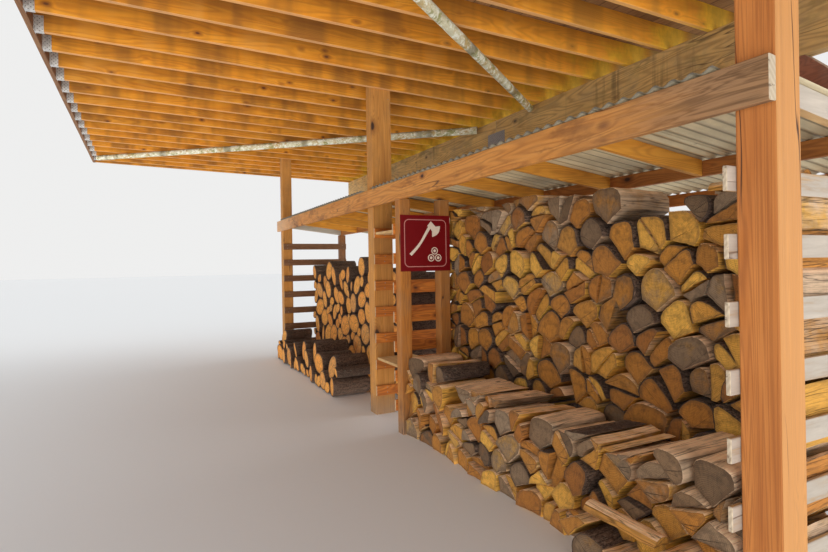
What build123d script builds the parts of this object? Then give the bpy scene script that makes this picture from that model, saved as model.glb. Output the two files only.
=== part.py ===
from build123d import *
import math
import os
import random

os.makedirs("parts", exist_ok=True)

# Millimetres. X runs from the wall to the back of the store, Y along it, Z up.
# The origin is on the ground under the middle of the high roof.

# high roof
roof_width = 4952.0
roof_length = 10924.0
roof_fall = 0.0233
wall_joist_bottom = 3224.0
joist_depth = 184.0
joist_thickness = 38.0
joist_pitch = 378.0
roof_edge_gap = 24.0
ledger_thickness = 38.0
deck_thickness = 19.0
hanger_gauge = 2.0
hanger_height = 120.0
hanger_seat = 60.0
hanger_flange = 28.0

# sheets: ribbed on the high roof, corrugated on the low roof
rib_pitch = 305.0
rib_depth = 19.0
rib_profile = ((0.36, 0.0), (0.45, 1.0), (0.55, 1.0), (0.64, 0.0))
wave_pitch = 85.0
wave_depth = 17.0
wave_profile = ((0.25, 0.0), (0.75, 1.0))
sheet_gauge = 2.0
sheet_seat_gap = 0.3
sheet_edge_gap = 2.0

# tall posts that carry the front beam and run up to the joists
post_size = 150.0
middle_post_width = 203.0
post_face_x = 248.0
near_post_y = -3824.0
middle_post_y = -108.0
post_head_gap = 20.0
arris = 5.0

# outer girder with its posts and braces
girder_overhang = 399.0
girder_thickness = 95.0
girder_height = 388.0
girder_end_gap = 52.0
splice_y = 282.0
splice_gap = 0.3
splice_plate_length = 330.0
splice_plate_height = 150.0
splice_plate_drop = 140.0
splice_plate_gauge = 3.0
brace_reach = 654.0
brace_width = 184.0
brace_thickness = 89.0

# round poles nailed under the joists
pole_diameter = 90.0
pole_wall_gap = 80.0
pole_girder_gap = 45.0
far_pole_wall_y = 4745.0
far_pole_girder_y = 615.0
near_pole_wall_y = -3592.0
near_pole_girder_y = -399.0

# low roof
beam_thickness = 40.0
beam_height = 164.0
beam_bottom = 2008.0
beam_tail = 90.0
low_fall = 0.125
rafter_depth = 95.0
rafter_thickness = 38.0
rafter_pitch = 705.0
first_rafter_y = -2853.0
near_bay_rafters = 4
far_bay_rafters = 4
end_rafter_thickness = 50.0
end_rafter_inset = 76.0
back_beam_x = 1225.0
back_beam_height = 92.0
back_post_size = 102.0
rear_beam_height = 89.0
sheet_front_lap = 12.0
sheet_back_gap = 6.0
sheet_post_gap = 50.0
sheet_end_y = 3768.0
notch_height = 400.0

# short posts, slats, shelves and sign
short_post_size = 102.0
short_post_gap = 2.0
divider_y = -792.0
sign_size = 484.0
sign_bottom = 1391.0
sign_thickness = 4.0
slat_height = 95.0
slat_thickness = 19.0
slat_pitch = 254.0
slat_top = 1805.0
slat_count = 7
slat_overhang = 52.0
divider_overhang = 20.0
shelf_heights = (535.0, 1740.0)
shelf_thickness = 25.0
shelf_depth = 380.0
shelf_setback = 12.0

# firewood: split logs in jittered rows, round logs dropped one by one
log_length = 420.0
log_gap = 0.6
log_end_scatter = (0.0, 9.0, 18.0, 27.0, 40.0)
least_log_edge = 32.0
wall_seat_gap = 0.3
stack_face_x = 698.0
row_gap = 8.0
split_log_size = (218.0, 154.0)
split_log_spread = (66.0, 118.0)
low_log_size = (190.0, 132.0)
low_log_spread = (52.0, 92.0)
split_share = 0.58
split_stack_height = 1840.0
slumped_stack_height = 1690.0
slumped_end_y = -2720.0
low_split_height = 500.0
low_end_height = 600.0
low_near_end_y = -3380.0
low_far_end_y = -1300.0
spilled_end_y = -2960.0
spilled_height = 300.0
spilled_front_x = 92.0
lying_log_radius = 58.0
lying_logs_above = ((772.0, -3650.0), (905.0, -3590.0), (1050.0, -3640.0))
lying_log_below_y = -3395.0
big_round_share = 0.5
big_round_radius = (105.0, 150.0)
small_round_radius = (55.0, 80.0)
round_stack_height = 1600.0
low_round_height = 520.0
low_round_foot_x = 92.0
low_round_near_y = 700.0
tangent_spacing = 80.0


def keep(piece, name):
    piece.label = name
    export_step(piece, f"parts/{name}.step")


def joist_bottom(x):
    return wall_joist_bottom - roof_fall * (x + roof_width / 2)


def sheet_bottom(x):
    return beam_bottom + beam_height - low_fall * (x - beam_front)


beam_front = post_face_x - beam_thickness
joist_start_x = -roof_width / 2 + ledger_thickness
joist_end_x = roof_width / 2
middle_joist_y = middle_post_y - joist_thickness / 2
edge_joist_y = roof_length / 2 - roof_edge_gap - joist_thickness / 2
near_joists = int((edge_joist_y + middle_joist_y) / joist_pitch - 0.5)
far_joists = int((edge_joist_y - middle_joist_y) / joist_pitch - 0.5)
hung_joists = [middle_joist_y + k * joist_pitch for k in range(-near_joists, far_joists + 1)]
far_post_y = middle_post_y + joist_pitch * 10
near_post_far = near_post_y + post_size
far_post_far = far_post_y + post_size
girder_x = roof_width / 2 - girder_overhang - girder_thickness
girder_end_y = roof_length / 2 - girder_end_gap
girder_centre = girder_x + girder_thickness / 2
girder_top = joist_bottom(girder_x + girder_thickness)
girder_bottom = girder_top - girder_height
rear_post_x = girder_centre - post_size / 2
back_post_x = back_beam_x + joist_thickness / 2 - back_post_size / 2
back_beam_top = sheet_bottom(back_beam_x + joist_thickness)
back_beam_bottom = back_beam_top - back_beam_height


def square_post(x, y, width, depth, top, bottom=0.0):
    with BuildPart() as post:
        with BuildSketch(Plane.XY.offset(bottom)):
            with Locations((x, y)):
                Rectangle(width, depth, align=(Align.MIN, Align.MIN))
        extrude(amount=top - bottom)
        chamfer(post.edges().filter_by(Axis.Z), arris)
    return post.part


# tall posts
tall_posts = {
    "post_near": (near_post_y, post_size),
    "post_middle": (middle_post_y, middle_post_width),
    "post_far": (far_post_y, post_size),
}
for name, (post_y, post_width) in tall_posts.items():
    head = joist_bottom(post_face_x + post_width) + joist_depth - post_head_gap
    keep(square_post(post_face_x, post_y, post_width, post_size, head), name)

# rear posts under the outer girder
rear_posts = {
    "rear_post_near": near_post_y,
    "rear_post_middle": splice_y - post_size / 2,
    "rear_post_far": far_post_y,
}
for name, post_y in rear_posts.items():
    keep(square_post(rear_post_x, post_y, post_size, post_size, girder_bottom), name)


# outer girder, two timbers butted over the middle rear post
def girder_timber(y_from, y_to):
    with BuildPart() as timber:
        with BuildSketch(Plane.XZ.offset(-y_to)):
            Polygon(
                (girder_x, girder_bottom),
                (girder_x + girder_thickness, girder_bottom),
                (girder_x + girder_thickness, girder_top),
                (girder_x, joist_bottom(girder_x)),
                align=None,
            )
        extrude(amount=y_to - y_from)
    return timber.part


keep(girder_timber(-girder_end_y, splice_y - splice_gap / 2), "girder_near")
keep(girder_timber(splice_y + splice_gap / 2, girder_end_y), "girder_far")

plate_top = girder_top - splice_plate_drop
with BuildPart() as splice_plate:
    with BuildSketch(Plane.YZ.offset(girder_x - splice_plate_gauge)):
        with Locations((splice_y, plate_top - splice_plate_height / 2)):
            Rectangle(splice_plate_length, splice_plate_height)
    extrude(amount=splice_plate_gauge)
keep(splice_plate.part, "splice_plate")


# knee braces from the end rear posts up to the girder
def knee_brace(post_side, toward):
    run = brace_width * math.sqrt(2)
    with BuildPart() as brace:
        with BuildSketch(Plane.YZ.offset(girder_centre - brace_thickness / 2)):
            Polygon(
                (post_side, girder_bottom - brace_reach),
                (post_side + toward * brace_reach, girder_bottom),
                (post_side + toward * (brace_reach + run), girder_bottom),
                (post_side, girder_bottom - brace_reach - run),
                align=None,
            )
        extrude(amount=brace_thickness)
    return brace.part


keep(knee_brace(near_post_far, 1), "knee_brace_near")
keep(knee_brace(far_post_y, -1), "knee_brace_far")

# ledger on the wall side
ledger_bottom = joist_bottom(joist_start_x)
with BuildPart() as ledger:
    with BuildSketch(Plane.XY.offset(ledger_bottom)):
        with Locations((-roof_width / 2, 0)):
            Rectangle(ledger_thickness, roof_length, align=(Align.MIN, Align.CENTER))
    extrude(amount=joist_depth)
keep(ledger.part, "ledger")

# joists, with one along each edge and one more against the far side of the near post
joist_rows = hung_joists + [-edge_joist_y, edge_joist_y, near_post_far + joist_thickness / 2]
with BuildPart() as joists:
    for row in joist_rows:
        with BuildSketch(Plane.XZ.offset(-row - joist_thickness / 2)):
            Polygon(
                (joist_start_x, joist_bottom(joist_start_x)),
                (joist_end_x, joist_bottom(joist_end_x)),
                (joist_end_x, joist_bottom(joist_end_x) + joist_depth),
                (joist_start_x, joist_bottom(joist_start_x) + joist_depth),
                align=None,
            )
    extrude(amount=joist_thickness)
keep(joists.part, "joists")

# hangers: a stirrup under each joist with two flanges nailed to the ledger
inner = joist_thickness / 2
outer = inner + hanger_gauge
hanger_floor = joist_bottom(joist_start_x + hanger_seat) - hanger_gauge
hanger_top = hanger_floor + hanger_height
with BuildPart() as joist_hangers:
    for row in hung_joists:
        with BuildSketch(Plane.YZ.offset(joist_start_x)):
            Polygon(
                (row - outer, hanger_floor),
                (row + outer, hanger_floor),
                (row + outer, hanger_top),
                (row + inner, hanger_top),
                (row + inner, hanger_floor + hanger_gauge),
                (row - inner, hanger_floor + hanger_gauge),
                (row - inner, hanger_top),
                (row - outer, hanger_top),
                align=None,
            )
    extrude(amount=hanger_seat)
    with BuildSketch(Plane.YZ.offset(joist_start_x)):
        for row in hung_joists:
            for side in (-1, 1):
                with Locations((row + side * (outer + hanger_flange / 2), hanger_floor + hanger_height / 2)):
                    Rectangle(hanger_flange, hanger_height)
    extrude(amount=hanger_gauge)
keep(joist_hangers.part, "joist_hangers")


# deck and sheets of the high roof
def fall_plane(x, z, fall):
    length = math.hypot(1, fall)
    return Plane(origin=(x, 0, z), x_dir=(0, 1, 0), z_dir=(1 / length, 0, -fall / length))


deck_bottom = joist_bottom(-roof_width / 2) + joist_depth
with BuildPart() as roof_deck:
    with BuildSketch(Plane.XZ.offset(-roof_length / 2)):
        Polygon(
            (-roof_width / 2, deck_bottom),
            (roof_width / 2, deck_bottom - roof_fall * roof_width),
            (roof_width / 2, deck_bottom - roof_fall * roof_width + deck_thickness),
            (-roof_width / 2, deck_bottom + deck_thickness),
            align=None,
        )
    extrude(amount=roof_length)
keep(roof_deck.part, "roof_deck")


def sheet_outline(half_length, pitch, depth, profile):
    waves = round(2 * half_length / pitch)
    pitch = 2 * half_length / waves
    upper = [(-half_length, sheet_gauge)]
    for wave in range(waves):
        for phase, height in profile:
            upper.append(((wave + phase) * pitch - half_length, sheet_gauge + height * depth))
    upper.append((half_length, sheet_gauge))
    lower = [(y, z - sheet_gauge) for y, z in upper]
    return upper + lower[::-1]


def profiled_sheet(x_from, x_to, seat, fall, outline):
    with BuildPart() as sheet:
        with BuildSketch(fall_plane(x_from, seat + sheet_seat_gap, fall)):
            Polygon(*outline, align=None)
        extrude(amount=(x_to - x_from) * math.hypot(1, fall))
    return sheet.part


high_sheet_x = roof_width / 2 - sheet_edge_gap
high_sheet_seat = deck_bottom + deck_thickness - roof_fall * sheet_edge_gap
ribs = sheet_outline(roof_length / 2, rib_pitch, rib_depth, rib_profile)
keep(profiled_sheet(-high_sheet_x, high_sheet_x, high_sheet_seat, roof_fall, ribs), "roof_sheets")


# round poles nailed diagonally under the joists
def diagonal_pole(wall_y, girder_y):
    drop = pole_diameter / 2 + sheet_seat_gap
    wall_x = joist_start_x + pole_wall_gap
    end_x = girder_x - pole_girder_gap
    start = Vector(wall_x, wall_y, joist_bottom(wall_x) - drop)
    end = Vector(end_x, girder_y, joist_bottom(end_x) - drop)
    with BuildPart() as pole:
        with BuildSketch(Plane(origin=start, z_dir=end - start)):
            Circle(pole_diameter / 2)
        extrude(amount=(end - start).length)
    return pole.part


keep(diagonal_pole(far_pole_wall_y, far_pole_girder_y), "diagonal_pole_far")
keep(diagonal_pole(near_pole_wall_y, near_pole_girder_y), "diagonal_pole_near")


# low roof: front beam on the tall posts, its top bevelled to the fall of the sheets
with BuildPart() as front_beam:
    with BuildSketch(Plane.XZ.offset(-near_post_y)):
        Polygon(
            (beam_front, beam_bottom),
            (post_face_x, beam_bottom),
            (post_face_x, sheet_bottom(post_face_x)),
            (beam_front, sheet_bottom(beam_front)),
            align=None,
        )
    extrude(amount=near_post_y - far_post_far - beam_tail)
keep(front_beam.part, "front_beam")

back_posts = {
    "back_post_near": near_post_far - back_post_size,
    "back_post_divider": divider_y,
    "back_post_middle": middle_post_y,
    "back_post_far": far_post_y,
}
for name, post_y in back_posts.items():
    keep(square_post(back_post_x, post_y, back_post_size, back_post_size, back_beam_bottom), name)


def level_beam(x, top, height, y_from, y_to):
    with BuildPart() as beam:
        with BuildSketch(Plane.XY.offset(top - height)):
            with Locations((x, y_from)):
                Rectangle(joist_thickness, y_to - y_from, align=(Align.MIN, Align.MIN))
        extrude(amount=height)
    return beam.part


# back beam over the back posts, rear beam on the faces of the rear posts
back_beam_ends = (near_post_far - back_post_size, far_post_y + back_post_size)
keep(level_beam(back_beam_x, back_beam_top, back_beam_height, *back_beam_ends), "back_beam")
rear_beam_x = rear_post_x - joist_thickness
rear_beam_top = sheet_bottom(rear_post_x)
keep(level_beam(rear_beam_x, rear_beam_top, rear_beam_height, near_post_y, far_post_far), "rear_beam")

# rafters of the low roof: four in each bay and one behind the middle post
middle_post_far = middle_post_y + post_size
middle_rafter_y = middle_post_y + (post_size - rafter_thickness) / 2
end_rafter_far_y = far_post_far - end_rafter_inset - end_rafter_thickness
far_rafter_step = (end_rafter_far_y - middle_rafter_y) / (far_bay_rafters + 1)
rafter_rows = [first_rafter_y + k * rafter_pitch for k in range(near_bay_rafters)]
rafter_rows += [middle_rafter_y + k * far_rafter_step for k in range(1, far_bay_rafters + 1)]


def rafter_outline(start_x):
    return (
        (start_x, sheet_bottom(start_x) - rafter_depth),
        (back_beam_x, sheet_bottom(back_beam_x) - rafter_depth),
        (back_beam_x, sheet_bottom(back_beam_x)),
        (start_x, sheet_bottom(start_x)),
    )


with BuildPart() as low_rafters:
    for row in rafter_rows:
        with BuildSketch(Plane.XZ.offset(-row)):
            Polygon(*rafter_outline(post_face_x), align=None)
    with BuildSketch(Plane.XZ.offset(-middle_rafter_y)):
        Polygon(*rafter_outline(post_face_x + middle_post_width), align=None)
    extrude(amount=-rafter_thickness)
keep(low_rafters.part, "low_rafters")

with BuildPart() as end_rafters:
    for row in (near_post_y + end_rafter_inset, end_rafter_far_y):
        with BuildSketch(Plane.XZ.offset(-row)):
            Polygon(*rafter_outline(post_face_x + post_size), align=None)
    extrude(amount=-end_rafter_thickness)
keep(end_rafters.part, "end_rafters")

# corrugated sheets of the low roof, cut away round the tall posts
sheet_front_x = beam_front - sheet_front_lap
sheet_back_x = rear_post_x - sheet_back_gap
waves = sheet_outline(sheet_end_y, wave_pitch, wave_depth, wave_profile)
low_sheet = profiled_sheet(sheet_front_x, sheet_back_x, sheet_bottom(sheet_front_x), low_fall, waves)
with BuildPart() as low_roof_sheets:
    add(low_sheet)
    with BuildSketch(Plane.XY.offset(beam_bottom)):
        for post_y, post_width in tall_posts.values():
            with Locations((post_face_x, post_y + post_size / 2)):
                Rectangle(2 * (post_width + sheet_post_gap), post_size + 2 * sheet_post_gap)
    extrude(amount=notch_height, mode=Mode.SUBTRACT)
keep(low_roof_sheets.part, "low_roof_sheets")

# short posts in front of the tool closet, one under the front beam and one under a rafter
short_post_back_x = stack_face_x - short_post_gap - short_post_size
short_post_head = sheet_bottom(short_post_back_x + short_post_size) - rafter_depth
short_posts = {
    "short_post_front": (beam_front, beam_bottom),
    "short_post_back": (short_post_back_x, short_post_head),
}
for name, (post_x, head) in short_posts.items():
    keep(square_post(post_x, divider_y, short_post_size, short_post_size, head), name)


# slatted walls, each a row of slats on the faces of its posts
def slatted_wall(x_from, y_from):
    with BuildPart() as wall:
        for row in range(slat_count):
            with BuildSketch(Plane.XY.offset(slat_top - slat_height - row * slat_pitch)):
                with Locations((x_from, y_from)):
                    Rectangle(slat_end_x - x_from, slat_thickness, align=(Align.MIN, Align.MIN))
        extrude(amount=slat_height)
    return wall.part


slat_end_x = back_post_x + back_post_size
divider_far = divider_y + short_post_size
closet_slats_y = middle_post_y - slat_thickness
far_slats_y = far_post_y - slat_thickness
keep(slatted_wall(post_face_x - slat_overhang, near_post_far), "near_slats")
keep(slatted_wall(beam_front - divider_overhang, divider_far), "divider_slats")
keep(slatted_wall(post_face_x, closet_slats_y), "closet_slats")
keep(slatted_wall(post_face_x, far_slats_y), "far_slats")

# shelves between the two slatted walls of the closet
shelf_near = divider_far + slat_thickness
with BuildPart() as closet_shelves:
    for height in shelf_heights:
        with BuildSketch(Plane.XY.offset(height)):
            with Locations((post_face_x + shelf_setback, shelf_near)):
                Rectangle(shelf_depth, closet_slats_y - shelf_near, align=(Align.MIN, Align.MIN))
    extrude(amount=shelf_thickness)
keep(closet_shelves.part, "closet_shelves")

# sign plate across the near faces of the two short posts
sign_centre_x = (beam_front + short_post_back_x + short_post_size) / 2
with BuildPart() as sign:
    with BuildSketch(Plane.XZ.offset(-divider_y)):
        with Locations((sign_centre_x, sign_bottom + sign_size / 2)):
            Rectangle(sign_size, sign_size)
    extrude(amount=sign_thickness)
keep(sign.part, "sign")


# firewood: every log is a convex cell of its stack's end face, carried along X
def clipped(outline, normal, limit):
    kept = []
    for here, ahead in zip(outline, outline[1:] + outline[:1]):
        here_side = here[0] * normal[0] + here[1] * normal[1] - limit
        ahead_side = ahead[0] * normal[0] + ahead[1] * normal[1] - limit
        if here_side <= 0:
            kept.append(here)
        if here_side * ahead_side < 0:
            share = here_side / (here_side - ahead_side)
            kept.append((here[0] + share * (ahead[0] - here[0]), here[1] + share * (ahead[1] - here[1])))
    return kept


def boxed(outline, y_from, y_to, height):
    for normal, limit in (((-1, 0), -y_from), ((1, 0), y_to), ((0, -1), 0), ((0, 1), height)):
        outline = clipped(outline, normal, limit)
    return outline


def shared_out(outline, log, logs, gap):
    (y, z), spread = log
    for (other_y, other_z), other_spread in logs:
        reach = math.hypot(other_y - y, other_z - z)
        if reach > 0:
            normal = ((other_y - y) / reach, (other_z - z) / reach)
            edge = (reach**2 + spread**2 - other_spread**2) / (2 * reach) - gap / 2
            outline = clipped(outline, normal, y * normal[0] + z * normal[1] + edge)
    return outline


def drawn_in(outline, gap):
    inner = outline
    for (y, z), (next_y, next_z) in zip(outline, outline[1:] + outline[:1]):
        edge = math.hypot(next_y - y, next_z - z)
        normal = ((next_z - z) / edge, (y - next_y) / edge)
        inner = clipped(inner, normal, y * normal[0] + z * normal[1] - gap / 2)
    return inner


def halves(outline, dice):
    y = sum(corner[0] for corner in outline) / len(outline)
    z = sum(corner[1] for corner in outline) / len(outline)
    angle = dice.uniform(0, math.pi)
    normal = (math.cos(angle), math.sin(angle))
    middle = y * normal[0] + z * normal[1]
    return clipped(outline, normal, middle), clipped(outline, (-normal[0], -normal[1]), -middle)


def without_short_edges(cells):
    home = {}

    def settled(point):
        while home.get(point, point) != point:
            point = home[point]
        return point

    cells = [[(round(y, 2), round(z, 2)) for y, z in cell] for cell in cells]
    for cell in cells:
        for here, ahead in zip(cell, cell[1:] + cell[:1]):
            here, ahead = settled(here), settled(ahead)
            if 0 < math.dist(here, ahead) < least_log_edge:
                home[max(here, ahead)] = min(here, ahead)
    merged = [list(dict.fromkeys(settled(point) for point in cell)) for cell in cells]
    return [cell for cell in merged if len(cell) > 2]


def top_at(y, tops):
    for end, top in tops[:-1]:
        if y < end:
            return top
    return tops[-1][1]


def split_outlines(y_from, y_to, tops, log_size, log_spread, dice):
    columns = round((y_to - y_from) / log_size[0])
    width = (y_to - y_from) / columns
    height = log_size[1]
    rows = round(max(top for end, top in tops) / height)
    logs = []
    for row in range(rows + 1):
        for column in range(columns + row % 2):
            y = y_from + (column + 0.5 - row % 2 / 2 + dice.uniform(-0.2, 0.2)) * width
            z = (row + 0.5 + dice.uniform(-0.2, 0.2)) * height
            top = top_at(y, tops)
            if z < top or z < top + height and dice.random() < 0.4:
                logs.append(((y, z), dice.uniform(*log_spread)))
    cells = []
    for (y, z), spread in logs:
        top = top_at(y, tops)
        side = width if z < top - height else 0.7 * width
        cell = [(y - side, z - width), (y + side, z - width), (y + side, z + width), (y - side, z + width)]
        cell = boxed(cell, y_from, y_to, min(z + 0.7 * height, top + 0.6 * height))
        cell = shared_out(cell, ((y, z), spread), logs, 0)
        if len(cell) > 2:
            cells.append(cell)
    outlines = []
    for cell in without_short_edges(cells):
        pieces = halves(cell, dice) if dice.random() < split_share else (cell,)
        outlines += [drawn_in(piece, log_gap) for piece in pieces]
    return [outline for outline in outlines if len(outline) > 2]


def resting_places(radius, logs, y_from, y_to):
    places = [(y_from + radius, radius)]
    for (y, z), other in logs:
        reach = radius + other
        for side in (-1, 1):
            if abs(z - radius) < reach:
                places.append((y + side * math.sqrt(reach**2 - (z - radius) ** 2), radius))
        for wall in (y_from + radius, y_to - radius):
            if abs(wall - y) < reach:
                places.append((wall, z + math.sqrt(reach**2 - (wall - y) ** 2)))
        for (far_y, far_z), far_other in logs:
            far_reach = radius + far_other
            span = math.hypot(far_y - y, far_z - z)
            if far_y <= y or span > reach + far_reach:
                continue
            along = (span**2 + reach**2 - far_reach**2) / (2 * span)
            up = math.sqrt(max(reach**2 - along**2, 0))
            slope = ((far_y - y) / span, (far_z - z) / span)
            places.append((y + along * slope[0] - up * slope[1], z + along * slope[1] + up * slope[0]))
    return places


def fits(place, radius, logs, y_from, y_to):
    if not y_from + radius - 0.01 <= place[0] <= y_to - radius + 0.01 or place[1] < radius - 0.01:
        return False
    return all(math.dist(place, centre) > radius + other - 0.01 for centre, other in logs)


# a round log is cut to flats where it touches, with more flats where it stands free
def round_outline(log, logs, y_from, y_to, height):
    (y, z), radius = log
    touching = []
    for (other_y, other_z), other in logs:
        if 0 < math.hypot(other_y - y, other_z - z) < radius + other + 1:
            touching.append(math.degrees(math.atan2(other_z - z, other_y - y)) % 360)
    walls = ((180, y - y_from), (0, y_to - y), (270, z))
    touching += [angle for angle, away in walls if away < radius + 1]
    touching.sort()
    flats = list(touching)
    for here, ahead in zip(touching, touching[1:] + [touching[0] + 360]):
        more = math.ceil((ahead - here) / tangent_spacing - 0.5)
        flats += [here + (ahead - here) * step / more for step in range(1, more)]
    reach = 2 * radius
    outline = [(y - reach, z - reach), (y + reach, z - reach), (y + reach, z + reach), (y - reach, z + reach)]
    outline = boxed(outline, y_from, y_to, height)
    for angle in flats:
        normal = (math.cos(math.radians(angle)), math.sin(math.radians(angle)))
        outline = clipped(outline, normal, y * normal[0] + z * normal[1] + radius - log_gap / 2)
    return shared_out(outline, log, logs, log_gap)


def round_outlines(y_from, y_to, height, dice):
    logs = []
    while True:
        radius = dice.uniform(*(big_round_radius if dice.random() < big_round_share else small_round_radius))
        places = resting_places(radius, logs, y_from, y_to)
        places = [place for place in places if fits(place, radius, logs, y_from, y_to)]
        lowest = min(places, key=lambda place: place[1])
        if lowest[1] + radius > height:
            break
        logs.append((lowest, radius))
    return [round_outline(log, logs, y_from, y_to, height) for log in logs]


# a split log that has come to lie across the others has its flat side on the highest of them
def lying_seat(y, carriers):
    reaches = [boxed(outline, y, y + log_length, split_stack_height + log_length) for outline in carriers]
    return max(corner[1] for reach in reaches for corner in reach) + wall_seat_gap


half_log = []
for angle in range(0, 181, 36):
    turn = math.radians(angle)
    half_log.append((lying_log_radius * math.cos(turn), lying_log_radius * math.sin(turn)))


def stacked(outlines, front_at, dice, lying=()):
    fronts = {}
    for outline in outlines:
        front = front_at(outline) + dice.choice(log_end_scatter)
        fronts.setdefault(front, []).append(outline)
    with BuildPart() as wood:
        for front, group in fronts.items():
            with BuildSketch(Plane.YZ.offset(front)):
                for outline in group:
                    Polygon(*outline, align=None)
            extrude(amount=log_length)
        for x, y, carriers in lying:
            with BuildSketch(Plane.XZ.offset(-y)):
                with Locations((x, lying_seat(y, carriers))):
                    Polygon(*half_log, align=None)
            extrude(amount=-log_length)
    return wood.part


def against_slats(outline):
    return stack_face_x


# at the near end of the low stack the bottom logs have slid forward
def slid_forward(outline):
    near_y = min(y for y, z in outline)
    return near_y < spilled_end_y and max(z for y, z in outline) < spilled_height


def low_split_front(outline):
    return spilled_front_x if slid_forward(outline) else low_head_x


def low_round_front(outline):
    rise = min(min(z for y, z in outline) / low_round_height, 1)
    return low_round_foot_x + (low_head_x - low_round_foot_x) * round(4 * rise) / 4


dice = random.Random(7)
low_head_x = stack_face_x - row_gap - log_length - max(log_end_scatter)
split_near = near_post_far + slat_thickness + wall_seat_gap
round_far = far_slats_y - wall_seat_gap
tall_tops = ((slumped_end_y, slumped_stack_height), (divider_far, split_stack_height))
tall_span = (split_near, divider_far - wall_seat_gap)
tall_split = split_outlines(*tall_span, tall_tops, split_log_size, split_log_spread, dice)
lying_above = [(x, y, tall_split) for x, y in lying_logs_above]
keep(stacked(tall_split, against_slats, dice, lying_above), "split_stack_tall")
low_tops = (
    (low_near_end_y, low_end_height),
    (low_far_end_y, low_split_height),
    (divider_y, low_end_height),
)
low_span = (split_near, divider_y - wall_seat_gap)
low_split = split_outlines(*low_span, low_tops, low_log_size, low_log_spread, dice)
slid_logs = [outline for outline in low_split if slid_forward(outline)]
lying_below = [(low_head_x - wall_seat_gap - lying_log_radius, lying_log_below_y, slid_logs)]
keep(stacked(low_split, low_split_front, dice, lying_below), "split_stack_low")
tall_round = round_outlines(middle_post_far, round_far, round_stack_height, dice)
keep(stacked(tall_round, against_slats, dice), "round_stack_tall")
low_round = round_outlines(low_round_near_y, round_far, low_round_height, dice)
keep(stacked(low_round, low_round_front, dice), "round_stack_low")
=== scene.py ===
import math
import random

import bmesh
import bpy
from mathutils import Matrix, Vector, noise


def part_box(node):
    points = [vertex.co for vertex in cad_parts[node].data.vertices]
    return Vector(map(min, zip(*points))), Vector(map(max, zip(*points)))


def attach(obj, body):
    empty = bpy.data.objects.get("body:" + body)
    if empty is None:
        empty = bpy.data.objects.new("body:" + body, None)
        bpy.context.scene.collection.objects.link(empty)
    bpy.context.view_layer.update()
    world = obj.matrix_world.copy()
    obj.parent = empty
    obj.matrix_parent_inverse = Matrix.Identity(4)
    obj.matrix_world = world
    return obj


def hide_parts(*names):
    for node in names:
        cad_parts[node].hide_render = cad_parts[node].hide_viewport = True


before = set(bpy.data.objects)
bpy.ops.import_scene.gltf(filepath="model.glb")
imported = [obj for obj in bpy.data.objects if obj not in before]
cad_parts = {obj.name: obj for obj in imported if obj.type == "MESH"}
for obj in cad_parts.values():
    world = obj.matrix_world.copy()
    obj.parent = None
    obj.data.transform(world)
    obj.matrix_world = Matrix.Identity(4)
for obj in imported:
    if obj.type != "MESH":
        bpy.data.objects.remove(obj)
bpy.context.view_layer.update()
noise.seed_set(1)    # without it noise_vector would change from run to run
print("frame loaded")


def inScene(item):
    bpy.context.scene.collection.objects.link(item)
    return item


def faceStrip(bm, one, other):    # the faces between two closed loops with the same number of points
    made = []
    for index in range(len(one)):
        ahead = (index + 1) % len(one)
        made.append(bm.faces.new((one[index], one[ahead], other[ahead], other[index])))
    return made


# camera
camera = {
    "place": (-1.738, -4.938, 1.46),
    "turn": 26.588,      # degrees from +Y towards +X
    "roll": -0.9375,
    "lens": 23.44,
    "shiftY": -0.0154,
}


def aimCamera():
    turn, roll = math.radians(camera["turn"]), math.radians(camera["roll"])
    forward = Vector((math.sin(turn), math.cos(turn), 0))
    right = Vector((math.cos(turn), -math.sin(turn), 0))
    up = right.cross(forward)
    rolledRight = right * math.cos(roll) + up * math.sin(roll)
    rolledUp = up * math.cos(roll) - right * math.sin(roll)
    data = bpy.data.cameras.new("photoCamera")
    data.lens = camera["lens"]
    data.shift_y = camera["shiftY"]
    data.clip_end = 200
    item = inScene(bpy.data.objects.new("photoCamera", data))
    turned = Matrix((rolledRight, rolledUp, -forward)).transposed().to_4x4()
    item.matrix_world = Matrix.Translation(camera["place"]) @ turned
    bpy.context.scene.camera = item


aimCamera()


# shader maths
class Field:    # one socket, so that shader maths reads as plain expressions
    def __init__(self, nodes, socket):
        self.nodes, self.socket = nodes, socket

    def maths(self, operation, *others):
        return self.nodes.node("Math", {"operation": operation}, self, *others)

    def __add__(self, other):
        return self.maths("ADD", other)

    def __sub__(self, other):
        return self.maths("SUBTRACT", other)

    def __rsub__(self, other):
        return self.nodes.node("Math", {"operation": "SUBTRACT"}, other, self)

    def __mul__(self, other):
        return self.maths("MULTIPLY", other)

    def __truediv__(self, other):
        return self.maths("DIVIDE", other)

    def __pow__(self, other):
        return self.maths("POWER", other)

    __radd__, __rmul__ = __add__, __mul__

    def sine(self):
        return self.maths("SINE")

    def size(self):
        return self.maths("ABSOLUTE")

    def larger(self, other):
        return self.maths("MAXIMUM", other)


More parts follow.
